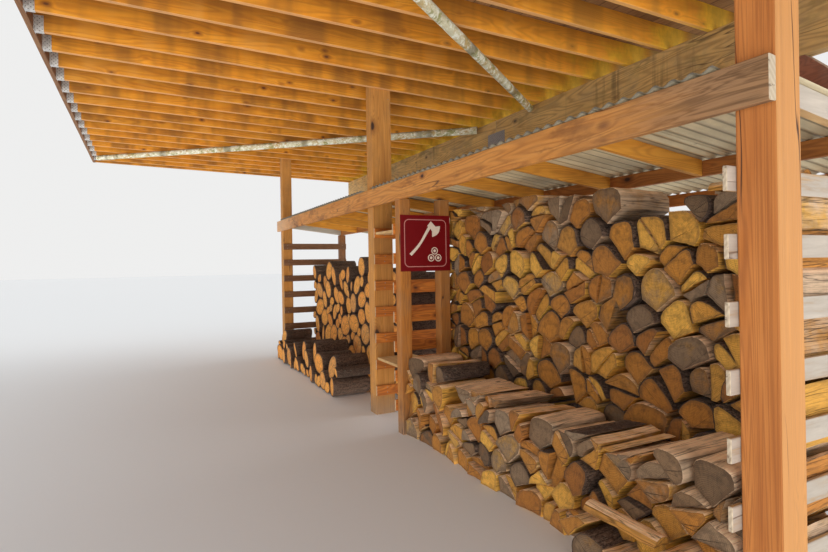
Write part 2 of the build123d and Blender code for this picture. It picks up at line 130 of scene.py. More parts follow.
class Nodes:    # a node tree, filled by plain calls
    def __init__(self, tree):
        self.tree = tree

    def feed(self, socket, value):
        if isinstance(value, Field):
            self.tree.links.new(value.socket, socket)
        elif isinstance(value, (int, float)) or len(value) == len(socket.default_value):
            socket.default_value = value
        else:
            socket.default_value = (*value, 1.0)

    def node(self, kind, settings, *values, out=0, **named):    # out=None gives every output
        item = self.tree.nodes.new("ShaderNode" + kind)
        for key, value in settings.items():
            if key == "stops":
                ramp = item.color_ramp
                while len(ramp.elements) < len(value):
                    ramp.elements.new(0.5)
                for element, (position, colour) in zip(ramp.elements, value):
                    element.position = position
                    element.color = (*colour, 1.0)
            else:
                setattr(item, key, value)
        for socket, value in zip(item.inputs, values):
            self.feed(socket, value)
        for key, value in named.items():
            self.feed(item.inputs[key.replace("_", " ")], value)
        if out is None:
            return [Field(self, socket) for socket in item.outputs]
        return Field(self, item.outputs[out])

    def mixed(self, factor, one, other):
        item = self.tree.nodes.new("ShaderNodeMix")
        item.data_type = "RGBA"
        for index, value in zip((0, 6, 7), (factor, one, other)):    # its factor and two colours
            self.feed(item.inputs[index], value)
        return Field(self, item.outputs[2])


class Paint(Nodes):    # builds one material
    def __init__(self, name, roughness=0.8, metallic=0.0):
        self.material = bpy.data.materials.new(name)
        self.material.use_nodes = True
        super().__init__(self.material.node_tree)
        self.tree.nodes.clear()
        self.shader = self.tree.nodes.new("ShaderNodeBsdfPrincipled")
        output = self.tree.nodes.new("ShaderNodeOutputMaterial")
        self.tree.links.new(self.shader.outputs[0], output.inputs["Surface"])
        self.shader.inputs["Roughness"].default_value = roughness
        self.shader.inputs["Metallic"].default_value = metallic

    def place(self):
        return self.node("TexCoord", {}, out="Object")

    def facing(self):
        return self.parts(self.node("NewGeometry", {}, out="Normal"))

    def attribute(self, name, out="Fac"):
        return self.node("Attribute", {"attribute_name": name}, out=out)

    def parts(self, vector):
        return self.node("SeparateXYZ", {}, vector, out=None)

    def joined(self, x, y, z):
        return self.node("CombineXYZ", {}, x, y, z)

    def moved(self, vector, shift):
        return self.node("VectorMath", {"operation": "ADD"}, vector, shift)

    def stretched(self, vector, scale):
        return self.node("VectorMath", {"operation": "MULTIPLY"}, vector, scale)

    def cloud(self, vector, scale, detail=2.0, roughness=0.5, distortion=0.0):
        values = {"Scale": scale, "Detail": detail, "Roughness": roughness, "Distortion": distortion}
        return self.node("TexNoise", {}, vector, **values)

    def cells(self, vector, scale, out=0):
        return self.node("TexVoronoi", {}, vector, Scale=scale, out=out)

    def ramp(self, value, stops):
        return self.node("ValToRGB", {"stops": stops}, value)

    def turnAround(self, y, z):    # the angle round a log's pith
        return self.node("Math", {"operation": "ARCTAN2"}, z, y)

    def band(self, field, low, high, fromValue=0.0, toValue=1.0):
        settings = {"interpolation_type": "SMOOTHSTEP"}
        return self.node("MapRange", settings, field, low, high, fromValue, toValue)

    def shaded(self, colour, amount):
        return self.node("HueSaturation", {}, 0.5, 1.0, amount, 1.0, colour)

    def bump(self, height, distance):
        return self.node("Bump", {}, Strength=1.0, Distance=distance, Height=height)

    def finish(self, colour, roughness=None, normal=None):
        for name, value in (("Base Color", colour), ("Roughness", roughness), ("Normal", normal)):
            if value is not None:
                self.feed(self.shader.inputs[name], value)
        return self.material


# timber
def grainPlace(paint):    # every solid gets its own stretch of the grain
    seed = paint.attribute("grainSeed")
    return paint.moved(paint.place(), paint.joined(seed * 37.0, seed * 53.0, seed * 29.0))


def along(axis, slow, fast=1.0):
    return tuple(slow if index == axis else fast for index in range(3))


def timber(name, look):
    paint = Paint(name, roughness=0.78)
    axis = look["axis"]
    place = grainPlace(paint)
    knotPlace = paint.stretched(place, along(axis, 0.55))
    knot = paint.cells(knotPlace, look["knotScale"])
    knotPull = paint.band(knot, 0.02, 0.30, 1.0, 0.0)
    knotCore = paint.band(knot, 0.045, 0.085, 1.0, 0.0)
    figure = paint.cloud(paint.stretched(place, along(axis, look["stretch"])), look["figure"], 1.5)
    rings = ((figure + knotPull * 0.07) * look["rings"] * 6.28).sine()
    lines = (rings * 0.5 + 0.5) ** look["lineSharpness"]
    fibre = paint.cloud(paint.stretched(place, along(axis, 0.03)), 260.0, 3.0, 0.7)
    streak = paint.cloud(paint.stretched(place, along(axis, 0.06)), 26.0, 3.0, 0.6)
    patch = paint.cloud(place, 2.3, 3.0, 0.6)
    board = paint.attribute("grainSeed")
    colour = paint.mixed(paint.band(streak, 0.3, 0.7), look["light"], look["middle"])
    colour = paint.mixed(lines * look["lineDepth"], colour, look["dark"])
    colour = paint.mixed(paint.band(knot, 0.05, 0.20, 0.85, 0.0), colour, look["dark"])
    colour = paint.mixed(knotCore, colour, look["knot"])
    tone = 0.80 + 0.22 * patch + 0.20 * fibre + (board - 0.5) * look["boardVariety"]
    colour = paint.shaded(colour, tone)
    # stains, and for some timbers painted light and shade
    for stain in look["stains"]:
        colour = stain(paint, colour, paint.place())
    height = lines * 0.35 + fibre * 0.65 - knotCore * 0.6
    check = dryingChecks(paint, place, axis) * look["checks"]
    colour = paint.mixed(check, colour, look["knot"])
    height = height - check * 2.0
    return paint.finish(colour, 0.62 + 0.26 * fibre, paint.bump(height, look["relief"]))


def dryingChecks(paint, place, axis):    # cracks along the grain
    wander = paint.cloud(paint.stretched(place, along(axis, 0.08)), 7.0, 2.0)
    line = paint.band((wander - 0.5).size(), 0.0, 0.008, 1.0, 0.0)
    where = paint.band(paint.cloud(paint.stretched(place, along(axis, 0.35)), 2.6, 1.0), 0.50, 0.62)
    return line * where


def endGrain(name, look):
    paint = Paint(name, roughness=0.85)
    place = grainPlace(paint)
    wander = paint.cloud(place, 6.0, 2.0)
    settings = {"wave_type": "RINGS", "rings_direction": "SPHERICAL"}
    rings = paint.node("TexWave", settings, place, Scale=22.0, Distortion=3.0, Detail=2.0, Detail_Scale=0.6)
    fibre = paint.cloud(place, 420.0, 2.0, 0.7)
    crack = paint.band(paint.cloud(place, 18.0, 3.0, 0.6, 1.2), 0.60, 0.66)
    colour = paint.mixed(rings * 0.45, look["endLight"], look["endDark"])
    colour = paint.shaded(colour, 0.74 + 0.3 * wander + 0.2 * fibre)
    colour = paint.mixed(crack * 0.6, colour, look["knot"])
    return paint.finish(colour, None, paint.bump(fibre + rings * 0.5 - crack, 0.001))


roof = {
    "fall": 0.0233,      # how much the high roof drops for each metre towards the back
    "joistsFrom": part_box("joists")[0],
    "joistsTo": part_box("joists")[1],
    "girder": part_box("girder_near"),
}


def outerFace(paint, y, depth):    # 1 on the outer faces of the two edge joists, 0 on what lies deeper in
    edge = roof["joistsTo"].y
    return paint.band(y.size(), edge - depth, edge - depth + 0.02)


def algaeAndPaintedLightByGirder(paint, colour, place):    # painted light, a brighter golden copy of the colour, towards the girder, then yellow-green algae, then dark
    x, y, z = paint.parts(place)
    front, back = (corner.x for corner in roof["girder"])
    inner = 1.0 - outerFace(paint, y, 0.06) * 0.8
    # painted light: the joists made brighter and golden from the middle of the roof up to the girder
    paintedGoldenLight = paint.mixed(0.35, paint.shaded(colour, 1.35), (0.96, 0.50, 0.06))
    paintedLitSpan = paint.band(x, 0.3, 1.5, 0.0, 0.85) * paint.band(x, back - 0.017, back + 0.103, 1.0, 0.0)
    colour = paint.mixed(paintedLitSpan * inner, colour, paintedGoldenLight)
    drift = paint.cloud(paint.stretched(place, (1.0, 3.0, 1.6)), 3.0, 3.0, 0.6) - 0.5
    reach = paint.band(x + drift * 1.1, front - 0.382, front + 0.038)
    reach = reach * paint.band(x, back + 0.043, back + 0.163, 1.0, 0.2)
    mottle = paint.cloud(paint.stretched(place, (1.0, 1.0, 0.5)), 16.0, 3.0, 0.65)
    yellow = paint.shaded((0.95, 0.60, 0.04), 0.45 + mottle * 1.05)
    colour = paint.mixed(reach * inner * 0.8, colour, yellow)
    dark = paint.band(x + drift * 0.7, front - 0.022, back + 0.043)
    return paint.mixed(dark * 0.25, colour, (0.17, 0.14, 0.03))


def joistDripsPaintedShadeAndLight(paint, colour, place):    # drips down the sides, painted shade by the deck, painted light underneath
    x, y, z = paint.parts(place)
    drips = paint.cloud(paint.stretched(place, (1.9, 2.4, 0.25)), 1.8, 2.5, 0.6)
    colour = paint.mixed(paint.band(drips, 0.32, 0.56, 0.62, 0.0), colour, (0.215, 0.088, 0.020))
    colour = paint.mixed(paint.band(drips, 0.52, 0.72) * 0.35, colour, (0.86, 0.43, 0.09))
    underside = roof["joistsFrom"].z + roof["fall"] * roof["joistsTo"].x    # at x = 0
    rise = z + x * roof["fall"] - underside
    # painted shade: darker towards the deck
    colour = paint.mixed(paint.band(rise, 0.03, 0.17) * 0.38, colour, (0.17, 0.065, 0.016))
    # painted light: paler on the undersides
    faces = paint.facing()
    colour = paint.mixed(paint.band(faces[2], -0.8, -0.5, 0.65, 0.0), colour, (0.80, 0.45, 0.20))
    grey = outerFace(paint, y, 0.03).larger(paint.band(x, 2.20, 2.32))    # where the weather gets at them
    return paint.mixed(grey * 0.8, colour, paint.shaded((0.42, 0.275, 0.150), 0.4 + drips * 1.1))


def girderMoss(paint, colour, place):
    x, y, z = paint.parts(place)
    streak = paint.cloud(paint.stretched(place, (1.0, 5.0, 0.35)), 1.7, 3.0, 0.6)
    patchy = paint.band(paint.cloud(place, 1.1, 2.0), 0.42, 0.62)
    colour = paint.mixed(paint.band(streak, 0.54, 0.68) * patchy * 0.65, colour, (0.075, 0.060, 0.032))
    green = paint.band(paint.cloud(paint.stretched(place, (1.0, 1.0, 2.2)), 2.4, 4.0, 0.65), 0.50, 0.72)
    low, high = roof["girder"]
    upper = paint.band(z, low.z + 0.05, high.z - 0.04)
    return paint.mixed(green * upper * 0.6, colour, (0.125, 0.125, 0.035))


def beamWeather(paint, colour, place):    # grey-brown at the near end, bleached at the far one
    x, y, z = paint.parts(place)
    low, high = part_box("front_beam")
    drift = paint.cloud(paint.stretched(place, (1.0, 0.5, 2.0)), 3.0, 3.0, 0.6)
    mottle = paint.cloud(paint.stretched(place, (1.0, 0.4, 1.0)), 7.0, 4.0, 0.65)
    colour = paint.mixed(paint.band(mottle, 0.50, 0.66) * 0.65, colour, (0.22, 0.085, 0.022))
    grey = paint.band(y + (drift - 0.5) * 0.9, low.y + 0.074, low.y + 1.124, 1.0, 0.0)
    swirl = paint.cloud(paint.stretched(place, (1.0, 0.10, 1.0)), 15.0, 3.0, 0.6, 0.7)
    lines = ((swirl * 44.0).sine() * 0.5 + 0.5) ** 1.5
    worn = paint.mixed(lines * 0.75, (0.35, 0.205, 0.105), (0.105, 0.058, 0.028))
    colour = paint.mixed(grey * 0.9, colour, paint.shaded(worn, 0.6 + drift * 0.75))
    pale = paint.band(y + (drift - 0.5) * 1.2, high.y - 1.712, high.y - 0.012)
    return paint.mixed(pale * 0.7, colour, (0.70, 0.45, 0.26))


def bleachedFace(side, low, high):    # sun-bleached on the face that looks along -Y or +Y
    def stain(paint, colour, place):
        faces = paint.band(paint.facing()[1] * side, 0.3, 0.8)
        wear = paint.cloud(paint.stretched(place, (0.3, 1.0, 3.0)), 7.0, 4.0, 0.65)
        silver = paint.shaded((0.47, 0.425, 0.37), 0.55 + wear * 0.9)
        return paint.mixed(faces * paint.band(wear, low, high), colour, silver)
    return stain


# painted light: the faces that look along -Y made paler
def paintedLightOnFront(amount, tint):
    def stain(paint, colour, place):
        return paint.mixed(paint.band(paint.facing()[1], -0.8, -0.3, amount, 0.0), colour, tint)
    return stain


def weathered(amount, tint=(0.25, 0.22, 0.18)):
    def stain(paint, colour, place):
        drift = paint.cloud(place, 3.4, 4.0, 0.65)
        return paint.mixed(paint.band(drift, 0.42, 0.68) * amount, colour, tint)
    return stain


def footGrime(paint, colour, place):
    x, y, z = paint.parts(place)
    drift = paint.cloud(place, 9.0, 3.0, 0.6)
    return paint.mixed(paint.band(z + (drift - 0.5) * 0.2, 0.02, 0.26, 0.6, 0.0), colour, (0.16, 0.13, 0.10))


commonWood = {    # what a timber has unless its own line says otherwise
    "knot": (0.05, 0.02, 0.01), "knotScale": 3.0, "figure": 9.0, "stretch": 0.12, "rings": 12.0,
    "lineSharpness": 1.6, "lineDepth": 0.42, "endLight": (0.55, 0.38, 0.22), "endDark": (0.22, 0.12, 0.06),
    "checks": 0.0, "relief": 0.0012, "boardVariety": 0.16, "stains": (),
}


def wood(axis, light, middle, dark, **own):    # its grain runs along axis 0, 1 or 2
    return {**commonWood, "axis": axis, "light": light, "middle": middle, "dark": dark, **own}


timberLooks = {
    "tallPost": wood(2, (0.6, 0.225, 0.052), (0.49, 0.165, 0.034), (0.28, 0.082, 0.016),
                     knot=(0.055, 0.02, 0.01), knotScale=2.6, figure=14.0, stretch=0.008, rings=52.0,
                     lineSharpness=2.0, endDark=(0.3, 0.15, 0.07), checks=1.0,
                     stains=(paintedLightOnFront(0.5, (0.66, 0.37, 0.135)), footGrime)),
    "middlePost": wood(2, (0.7, 0.33, 0.072), (0.58, 0.25, 0.046), (0.29, 0.105, 0.02), figure=14.0,
                       stretch=0.01, rings=48.0, lineSharpness=2.0, lineDepth=0.5,
                       endLight=(0.4, 0.26, 0.15), endDark=(0.2, 0.1, 0.05), checks=1.0,
                       stains=(weathered(0.3, (0.24, 0.14, 0.06)), footGrime)),
    "shortPost": wood(2, (0.48, 0.185, 0.028), (0.39, 0.14, 0.018), (0.2, 0.064, 0.01), knotScale=4.0,
                      figure=15.0, stretch=0.05, rings=22.0, lineDepth=0.45, endLight=(0.5, 0.34, 0.2),
                      endDark=(0.28, 0.14, 0.07), checks=0.9,
                      stains=(weathered(0.35, (0.27, 0.16, 0.07)), footGrime)),
    "rearPost": wood(2, (0.25, 0.13, 0.06), (0.19, 0.09, 0.04), (0.09, 0.04, 0.02),
                     knot=(0.03, 0.012, 0.006), figure=11.0, stretch=0.04, rings=24.0, lineSharpness=1.8,
                     lineDepth=0.5, endLight=(0.4, 0.28, 0.18), checks=0.8,
                     stains=(weathered(0.5, (0.26, 0.2, 0.15)), footGrime)),
    "brace": wood(1, (0.33, 0.125, 0.07), (0.25, 0.09, 0.05), (0.12, 0.04, 0.025),
                  knot=(0.04, 0.015, 0.01), stretch=0.2, rings=20.0, lineSharpness=1.8, lineDepth=0.4,
                  endLight=(0.4, 0.28, 0.18), checks=0.4, stains=(weathered(0.3),)),
    "frontBeam": wood(1, (0.6, 0.27, 0.062), (0.49, 0.195, 0.036), (0.19, 0.06, 0.014),
                      knot=(0.05, 0.018, 0.01), knotScale=5.2, stretch=0.09, rings=13.0, lineSharpness=1.8,
                      lineDepth=0.36, endLight=(0.58, 0.5, 0.38), endDark=(0.4, 0.31, 0.2), checks=0.9,
                      relief=0.0018, stains=(beamWeather,)),
    "girder": wood(1, (0.72, 0.47, 0.175), (0.6, 0.37, 0.125), (0.22, 0.115, 0.038),
                   knot=(0.03, 0.016, 0.01), knotScale=5.2, figure=6.5, stretch=0.11, rings=15.0,
                   lineSharpness=2.0, lineDepth=0.45, endLight=(0.5, 0.38, 0.25), endDark=(0.3, 0.2, 0.12),
                   checks=0.7, relief=0.002, stains=(weathered(0.4, (0.36, 0.28, 0.17)), girderMoss)),
    "joist": wood(0, (0.88, 0.375, 0.026), (0.78, 0.295, 0.015), (0.37, 0.11, 0.009),
                  knot=(0.13, 0.038, 0.01), knotScale=6.6, figure=7.5, stretch=0.1, rings=14.0,
                  lineDepth=0.34, endLight=(0.55, 0.38, 0.2), endDark=(0.32, 0.17, 0.08),
                  boardVariety=0.24, stains=(joistDripsPaintedShadeAndLight, algaeAndPaintedLightByGirder)),
    "ledger": wood(1, (0.33, 0.17, 0.075), (0.26, 0.12, 0.05), (0.13, 0.055, 0.02),
                   knot=(0.04, 0.018, 0.01), knotScale=3.5, figure=8.0, stretch=0.1, rings=15.0,
                   lineDepth=0.4, endLight=(0.5, 0.35, 0.2), endDark=(0.3, 0.16, 0.08)),
    "rafter": wood(0, (0.78, 0.36, 0.04), (0.68, 0.28, 0.024), (0.34, 0.11, 0.012), knot=(0.1, 0.03, 0.01),
                   knotScale=5.0, rings=14.0, lineDepth=0.36, endLight=(0.6, 0.42, 0.24),
                   endDark=(0.35, 0.2, 0.1), boardVariety=0.3),
    "endRafter": wood(0, (0.62, 0.42, 0.2), (0.54, 0.34, 0.15), (0.34, 0.18, 0.07), knot=(0.1, 0.04, 0.02),
                      knotScale=5.0, rings=14.0, lineDepth=0.35, endLight=(0.6, 0.45, 0.28),
                      endDark=(0.4, 0.25, 0.13), stains=(bleachedFace(-1, 0.2, 0.45),)),
    "backTimber": wood(1, (0.56, 0.215, 0.045), (0.44, 0.155, 0.03), (0.19, 0.056, 0.012),
                       knot=(0.04, 0.015, 0.008), knotScale=4.5, rings=15.0, endLight=(0.45, 0.3, 0.17),
                       endDark=(0.26, 0.13, 0.07)),
    "backPost": wood(2, (0.34, 0.14, 0.042), (0.25, 0.092, 0.026), (0.12, 0.042, 0.012),
                     knot=(0.04, 0.015, 0.008), knotScale=4.0, figure=13.0, stretch=0.05, rings=20.0,
                     endLight=(0.45, 0.3, 0.17), endDark=(0.26, 0.13, 0.07),
                     stains=(weathered(0.4), footGrime)),
    "nearSlat": wood(0, (0.54, 0.35, 0.17), (0.45, 0.27, 0.11), (0.26, 0.14, 0.055),
                     knot=(0.09, 0.04, 0.02), knotScale=6.0, figure=12.0, lineSharpness=1.5,
                     lineDepth=0.38, endLight=(0.66, 0.56, 0.42), endDark=(0.4, 0.3, 0.2), checks=0.7,
                     boardVariety=0.3,
                     stains=(bleachedFace(-1, 0.18, 0.5), weathered(0.4, (0.42, 0.38, 0.33)))),
    "dividerSlat": wood(0, (0.62, 0.215, 0.028), (0.5, 0.145, 0.016), (0.21, 0.052, 0.008),
                        knot=(0.08, 0.025, 0.01), knotScale=6.0, figure=12.0, lineSharpness=1.5,
                        lineDepth=0.5, endDark=(0.3, 0.17, 0.09), boardVariety=0.34),
    "farSlat": wood(0, (0.22, 0.105, 0.045), (0.16, 0.07, 0.03), (0.08, 0.032, 0.014),
                    knot=(0.03, 0.012, 0.008), knotScale=6.0, figure=12.0, lineSharpness=1.5,
                    lineDepth=0.4, endLight=(0.45, 0.32, 0.2), endDark=(0.26, 0.15, 0.08),
                    boardVariety=0.3, stains=(bleachedFace(1, 0.2, 0.6),)),
    "shelf": wood(1, (0.62, 0.42, 0.19), (0.54, 0.34, 0.14), (0.36, 0.19, 0.07), knot=(0.12, 0.05, 0.02),
                  knotScale=5.0, figure=10.0, lineSharpness=1.5, lineDepth=0.35, endLight=(0.65, 0.5, 0.3),
                  endDark=(0.45, 0.3, 0.16)),
}


def cadSolids(node):    # the corner points and faces of each solid in a CAD node
    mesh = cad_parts[node].data
    keys, joined = [], {}
    for vertex in mesh.vertices:
        keys.append(tuple(round(value, 5) for value in vertex.co))

    def root(key):
        while joined.setdefault(key, key) != key:
            key = joined[key]
        return key

    for polygon in mesh.polygons:
        first = root(keys[polygon.vertices[0]])
        for index in polygon.vertices:
            joined[root(keys[index])] = first
    solids = {}
    for polygon in mesh.polygons:
        corners = [keys[index] for index in polygon.vertices]
        solids.setdefault(root(corners[0]), []).append(corners)
    return [solids[key] for key in sorted(solids)]


def cadCorners(node):
    return [corner for solid in cadSolids(node) for polygon in solid for corner in polygon]


def newPiece(name, bm, materials, slot, *nodes):
    mesh = bpy.data.meshes.new(name)
    bm.to_mesh(mesh)
    bm.free()
    piece = inScene(bpy.data.objects.new(name, mesh))
    for material in materials:
        mesh.materials.append(material)
    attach(piece, "root")
    if nodes:
        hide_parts(*nodes)
    return piece


working = {
    "bevel": 0.003,
    "step": 0.24,      # a cut across the timber about every quarter metre
    "wobble": 0.00192,
    "wobbleScale": 2.3,
    "endSlope": 0.62,  # a face that looks this much along the timber is end grain
}


def squaredSolid(faces):    # one CAD solid with its flat faces made whole again
    bm = bmesh.new()
    corners = {}
    for face in faces:
        loop = []
        for key in face:
            if key not in corners:
                corners[key] = bm.verts.new(key)
            loop.append(corners[key])
        if len(set(loop)) > 2:
            bm.faces.new(loop)
    bmesh.ops.recalc_face_normals(bm, faces=bm.faces)
    bmesh.ops.dissolve_limit(bm, angle_limit=0.01, verts=bm.verts, edges=bm.edges)
    return bm


def workedTimber(node, name, slot, look):    # worn edges and uneven faces, within the box of the CAD solid
    axis = timberLooks[look]["axis"]
    direction = Vector(along(axis, 1.0, 0.0))
    across = Vector(along(axis, 0.0))
    whole = bmesh.new()
    seedLayer = whole.verts.layers.float.new("grainSeed")
    for number, faces in enumerate(cadSolids(node)):
        bm = squaredSolid(faces)
        low = Vector(min(v.co[i] for v in bm.verts) for i in range(3))
        high = Vector(max(v.co[i] for v in bm.verts) for i in range(3))
        bmesh.ops.bevel(bm, geom=list(bm.edges), offset=working["bevel"], segments=1, affect="EDGES",
                        clamp_overlap=True)
        for face in bm.faces:
            face.material_index = 1 if abs(face.normal[axis]) > working["endSlope"] else 0
        count = max(int((high[axis] - low[axis]) / working["step"]), 1)
        for cut in range(1, count):
            at = low[axis] + (high[axis] - low[axis]) * cut / count
            bmesh.ops.bisect_plane(bm, geom=bm.verts[:] + bm.edges[:] + bm.faces[:], plane_co=direction * at,
                                   plane_no=direction)
        seed = random.Random(f"{name}{number}").random()
        places = {}
        for vertex in bm.verts:
            spot = vertex.co * working["wobbleScale"] + Vector((seed * 90, number * 3.1, 0))
            inner = vertex.co + noise.noise_vector(spot) * across * working["wobble"]
            inner = Vector(min(max(inner[i], low[i]), high[i]) for i in range(3))
            places[vertex] = whole.verts.new(inner)
            places[vertex][seedLayer] = seed
        for face in bm.faces:
            made = whole.faces.new([places[vertex] for vertex in face.verts])
            made.material_index = face.material_index
        bm.free()
    return newPiece(name, whole, materialPair(look), slot, node)


timberPairs = {}


def materialPair(look):    # long grain and end grain
    if look not in timberPairs:
        values = timberLooks[look]
        timberPairs[look] = (timber(look + "Wood", values), endGrain(look + "End", values))
    return timberPairs[look]


timberPieces = (
    ("post_near", "nearPost", "tall_post_timber", "tallPost"),
    ("post_middle", "middlePost", "tall_post_timber", "middlePost"),
    ("post_far", "farPost", "tall_post_timber", "middlePost"),
    ("short_post_front", "signPostFront", "short_post_timber", "shortPost"),
    ("short_post_back", "signPostBack", "short_post_timber", "shortPost"),
    ("rear_post_near", "rearPostNear", "rear_post_timber", "rearPost"),
    ("rear_post_middle", "rearPostMiddle", "rear_post_timber", "rearPost"),
    ("rear_post_far", "rearPostFar", "rear_post_timber", "rearPost"),
    ("back_post_near", "backPostNear", "back_timber", "backPost"),
    ("back_post_divider", "backPostDivider", "back_timber", "backPost"),
    ("back_post_middle", "backPostMiddle", "back_timber", "backPost"),
    ("back_post_far", "backPostFar", "back_timber", "backPost"),
    ("back_beam", "backBeam", "back_timber", "backTimber"),
    ("rear_beam", "rearBeam", "back_timber", "backTimber"),
    ("knee_brace_near", "kneeBraceNear", "brace_timber", "brace"),
    ("knee_brace_far", "kneeBraceFar", "brace_timber", "brace"),
    ("front_beam", "frontBeam", "front_beam_timber", "frontBeam"),
    ("girder_near", "girderNear", "girder_timber", "girder"),
    ("girder_far", "girderFar", "girder_timber", "girder"),
    ("ledger", "wallLedger", "ledger_timber", "ledger"),
    ("joists", "roofJoists", "joist_timber", "joist"),
    ("low_rafters", "lowRafters", "rafter_timber", "rafter"),
    ("end_rafters", "endRafters", "rafter_timber", "endRafter"),
    ("near_slats", "nearSlats", "slat_wood_near", "nearSlat"),
    ("divider_slats", "dividerSlats", "slat_wood_divider", "dividerSlat"),
    ("closet_slats", "closetSlats", "slat_wood_closet", "dividerSlat"),
    ("far_slats", "farSlats", "slat_wood_far", "farSlat"),
    ("closet_shelves", "closetShelves", "shelf_wood", "shelf"),
)
for node, name, slot, look in timberPieces:
    workedTimber(node, name, slot, look)
print("timber worked")


# firewood
firewood = {
    "gap": (0.0015, 0.009),        # how far a log stands in from its cell
    "taper": 0.05,
    "bend": 0.004,
    "sawTilt": 0.16,
    "sawFade": 0.3,                # the share of a log's length over which that slant fades
    "stations": 6,
    "arcPoints": 12,
    "flatStep": 0.024,
    "splitRough": 0.0042,
    "barkRough": 0.0040,
    "downward": 0.6,               # how much a log prefers to lie on its flat
    "wedgeShare": 0.62,            # the others are split once, into halves
    "tallBark": 0.6,               # share of the logs that keep their bark
    "bareBark": 0.15,              # the same at the near end of the tall stack and on its top
    "lowBark": 0.22,
    "topBark": 0.10,
    "bareEnd": -3.5,
    "bareTop": 1.68,
    "greyTop": 1.62,               # above this the tall stack is older
    "lowTop": 0.42,                # above this the low stack is older, looser and has less bark
    "roundSides": 24,
    "roundGap": 0.0012,
    "settleStep": 0.0006,
    "settleSteps": 60,
    "roughScale": 34.0,
    "endInset": 0.97,              # how much the sawn ends are eased at their rim
    "endUneven": 0.0008,
}


def logTones(paint, look, edges, blotch):    # new wood or old, by the log's own age and tone
    tone = paint.attribute("logTone")
    old = paint.band(paint.attribute("logAge") + (blotch - 0.5) * 0.6, *edges)
    return paint.mixed(old, paint.ramp(tone, look["fresh"]), paint.ramp(tone, look["old"]))


def endMaterial(name, look):
    paint = Paint(name, roughness=0.82)
    pith = paint.attribute("pithPlace", out="Vector")
    tone = paint.attribute("logTone")
    rim = paint.attribute("rimMark")
    x, y, z = paint.parts(pith)
    blotch = paint.cloud(pith, 10.0, 5.0, 0.68)
    wander = paint.cloud(pith, 22.0, 3.0, 0.6)
    reach = (y * y + z * z) ** 0.5
    rings = ((reach + (wander - 0.5) * 0.010) * 760.0).sine()
    lines = (rings * 0.5 + 0.5) ** 2.0
    turn = paint.turnAround(y, z)
    spokes = {"feature": "DISTANCE_TO_EDGE", "voronoi_dimensions": "1D"}
    spoke = paint.node("TexVoronoi", spokes, W=turn * 1.5 + tone * 37.0 + (wander - 0.5) * 0.2, Scale=1.0)
    crackWidth = paint.band(paint.cloud(pith, 7.0, 1.0), 0.42, 0.72, 0.0, 0.0030)
    crack = paint.band(spoke * reach, 0.0, crackWidth + 0.0001, 1.0, 0.0) * paint.band(reach, 0.006, 0.02)
    rays = paint.cloud(paint.joined(turn * 5.0, reach * 9.0, tone * 31.0), 2.6, 3.0, 0.7)
    saw = paint.cloud(paint.stretched(pith, (1.0, 0.10, 1.0)), 190.0, 2.0, 0.6)
    fibre = paint.cloud(pith, 520.0, 2.0, 0.7)
    damp = paint.cloud(pith, 26.0, 3.0, 0.6)
    colour = logTones(paint, look, (0.45, 0.66), blotch)
    colour = paint.mixed(paint.band(damp, 0.46, 0.66) * 0.6, colour, paint.shaded(colour, 0.45))
    colour = paint.mixed(paint.band(rays, 0.46, 0.66) * 0.5, colour, paint.shaded(colour, 0.55))
    colour = paint.mixed(lines * 0.42, colour, paint.shaded(colour, 0.45))
    colour = paint.shaded(colour, 0.20 + 1.04 * blotch + 0.36 * saw + 0.24 * fibre)
    colour = paint.mixed(paint.band(rim, 0.25, 0.62) * 0.38, colour, look["dirt"])
    colour = paint.mixed(crack, colour, (0.028, 0.014, 0.008))
    colour = paint.mixed(paint.band(rim, 0.82, 0.90), colour, look["barkRing"])
    height = saw * 0.5 + fibre * 0.4 + lines * 0.3 - crack * 2.0
    return paint.finish(colour, 0.66 + 0.26 * fibre, paint.bump(height, 0.0030))


def splitMaterial(name, look):
    paint = Paint(name, roughness=0.8)
    pith = paint.attribute("pithPlace", out="Vector")
    tone = paint.attribute("logTone")
    place = paint.moved(pith, paint.joined(tone * 31.0, tone * 17.0, tone * 43.0))
    strand = paint.cloud(paint.stretched(place, (0.05, 1.0, 1.0)), 80.0, 5.0, 0.70)
    crack = paint.cloud(paint.stretched(place, (0.045, 1.0, 1.0)), 34.0)
    split = paint.band((crack - 0.5).size(), 0.0, 0.022, 1.0, 0.0)
    broad = paint.cloud(paint.stretched(place, (0.16, 1.0, 1.0)), 24.0, 3.0, 0.6, 0.6)
    fibre = paint.cloud(paint.stretched(place, (0.03, 1.0, 1.0)), 420.0, 2.0, 0.7)
    blotch = paint.cloud(place, 8.0, 3.0, 0.6)
    knot = paint.cells(paint.stretched(place, (0.7, 1.0, 1.0)), 7.0)
    colour = logTones(paint, look, (0.40, 0.66), blotch)
    paintedTopLight = paint.band(paint.facing()[2], 0.35, 0.75)    # painted light: paler and brighter where it faces up
    colour = paint.mixed(paintedTopLight * paint.band(blotch, 0.3, 0.6, 0.35, 0.8), colour, (0.84, 0.60, 0.39))
    colour = paint.mixed(paint.band(broad, 0.44, 0.66) * 0.6, colour, paint.shaded(colour, 0.5))
    colour = paint.mixed(paint.band(strand, 0.48, 0.68) * 0.75, colour, paint.shaded(colour, 0.30))
    colour = paint.mixed(paint.band(knot, 0.05, 0.16, 0.8, 0.0), colour, (0.12, 0.05, 0.02))
    colour = paint.mixed(split * 0.75, colour, paint.shaded(colour, 0.22))
    # brighter still where it faces up: painted light
    colour = paint.shaded(colour, 0.48 + 0.58 * blotch + 0.46 * fibre + 0.38 * paintedTopLight)
    height = broad + strand * 0.9 + fibre * 0.3 - split * 0.5
    return paint.finish(colour, 0.66 + 0.24 * fibre, paint.bump(height, 0.007))


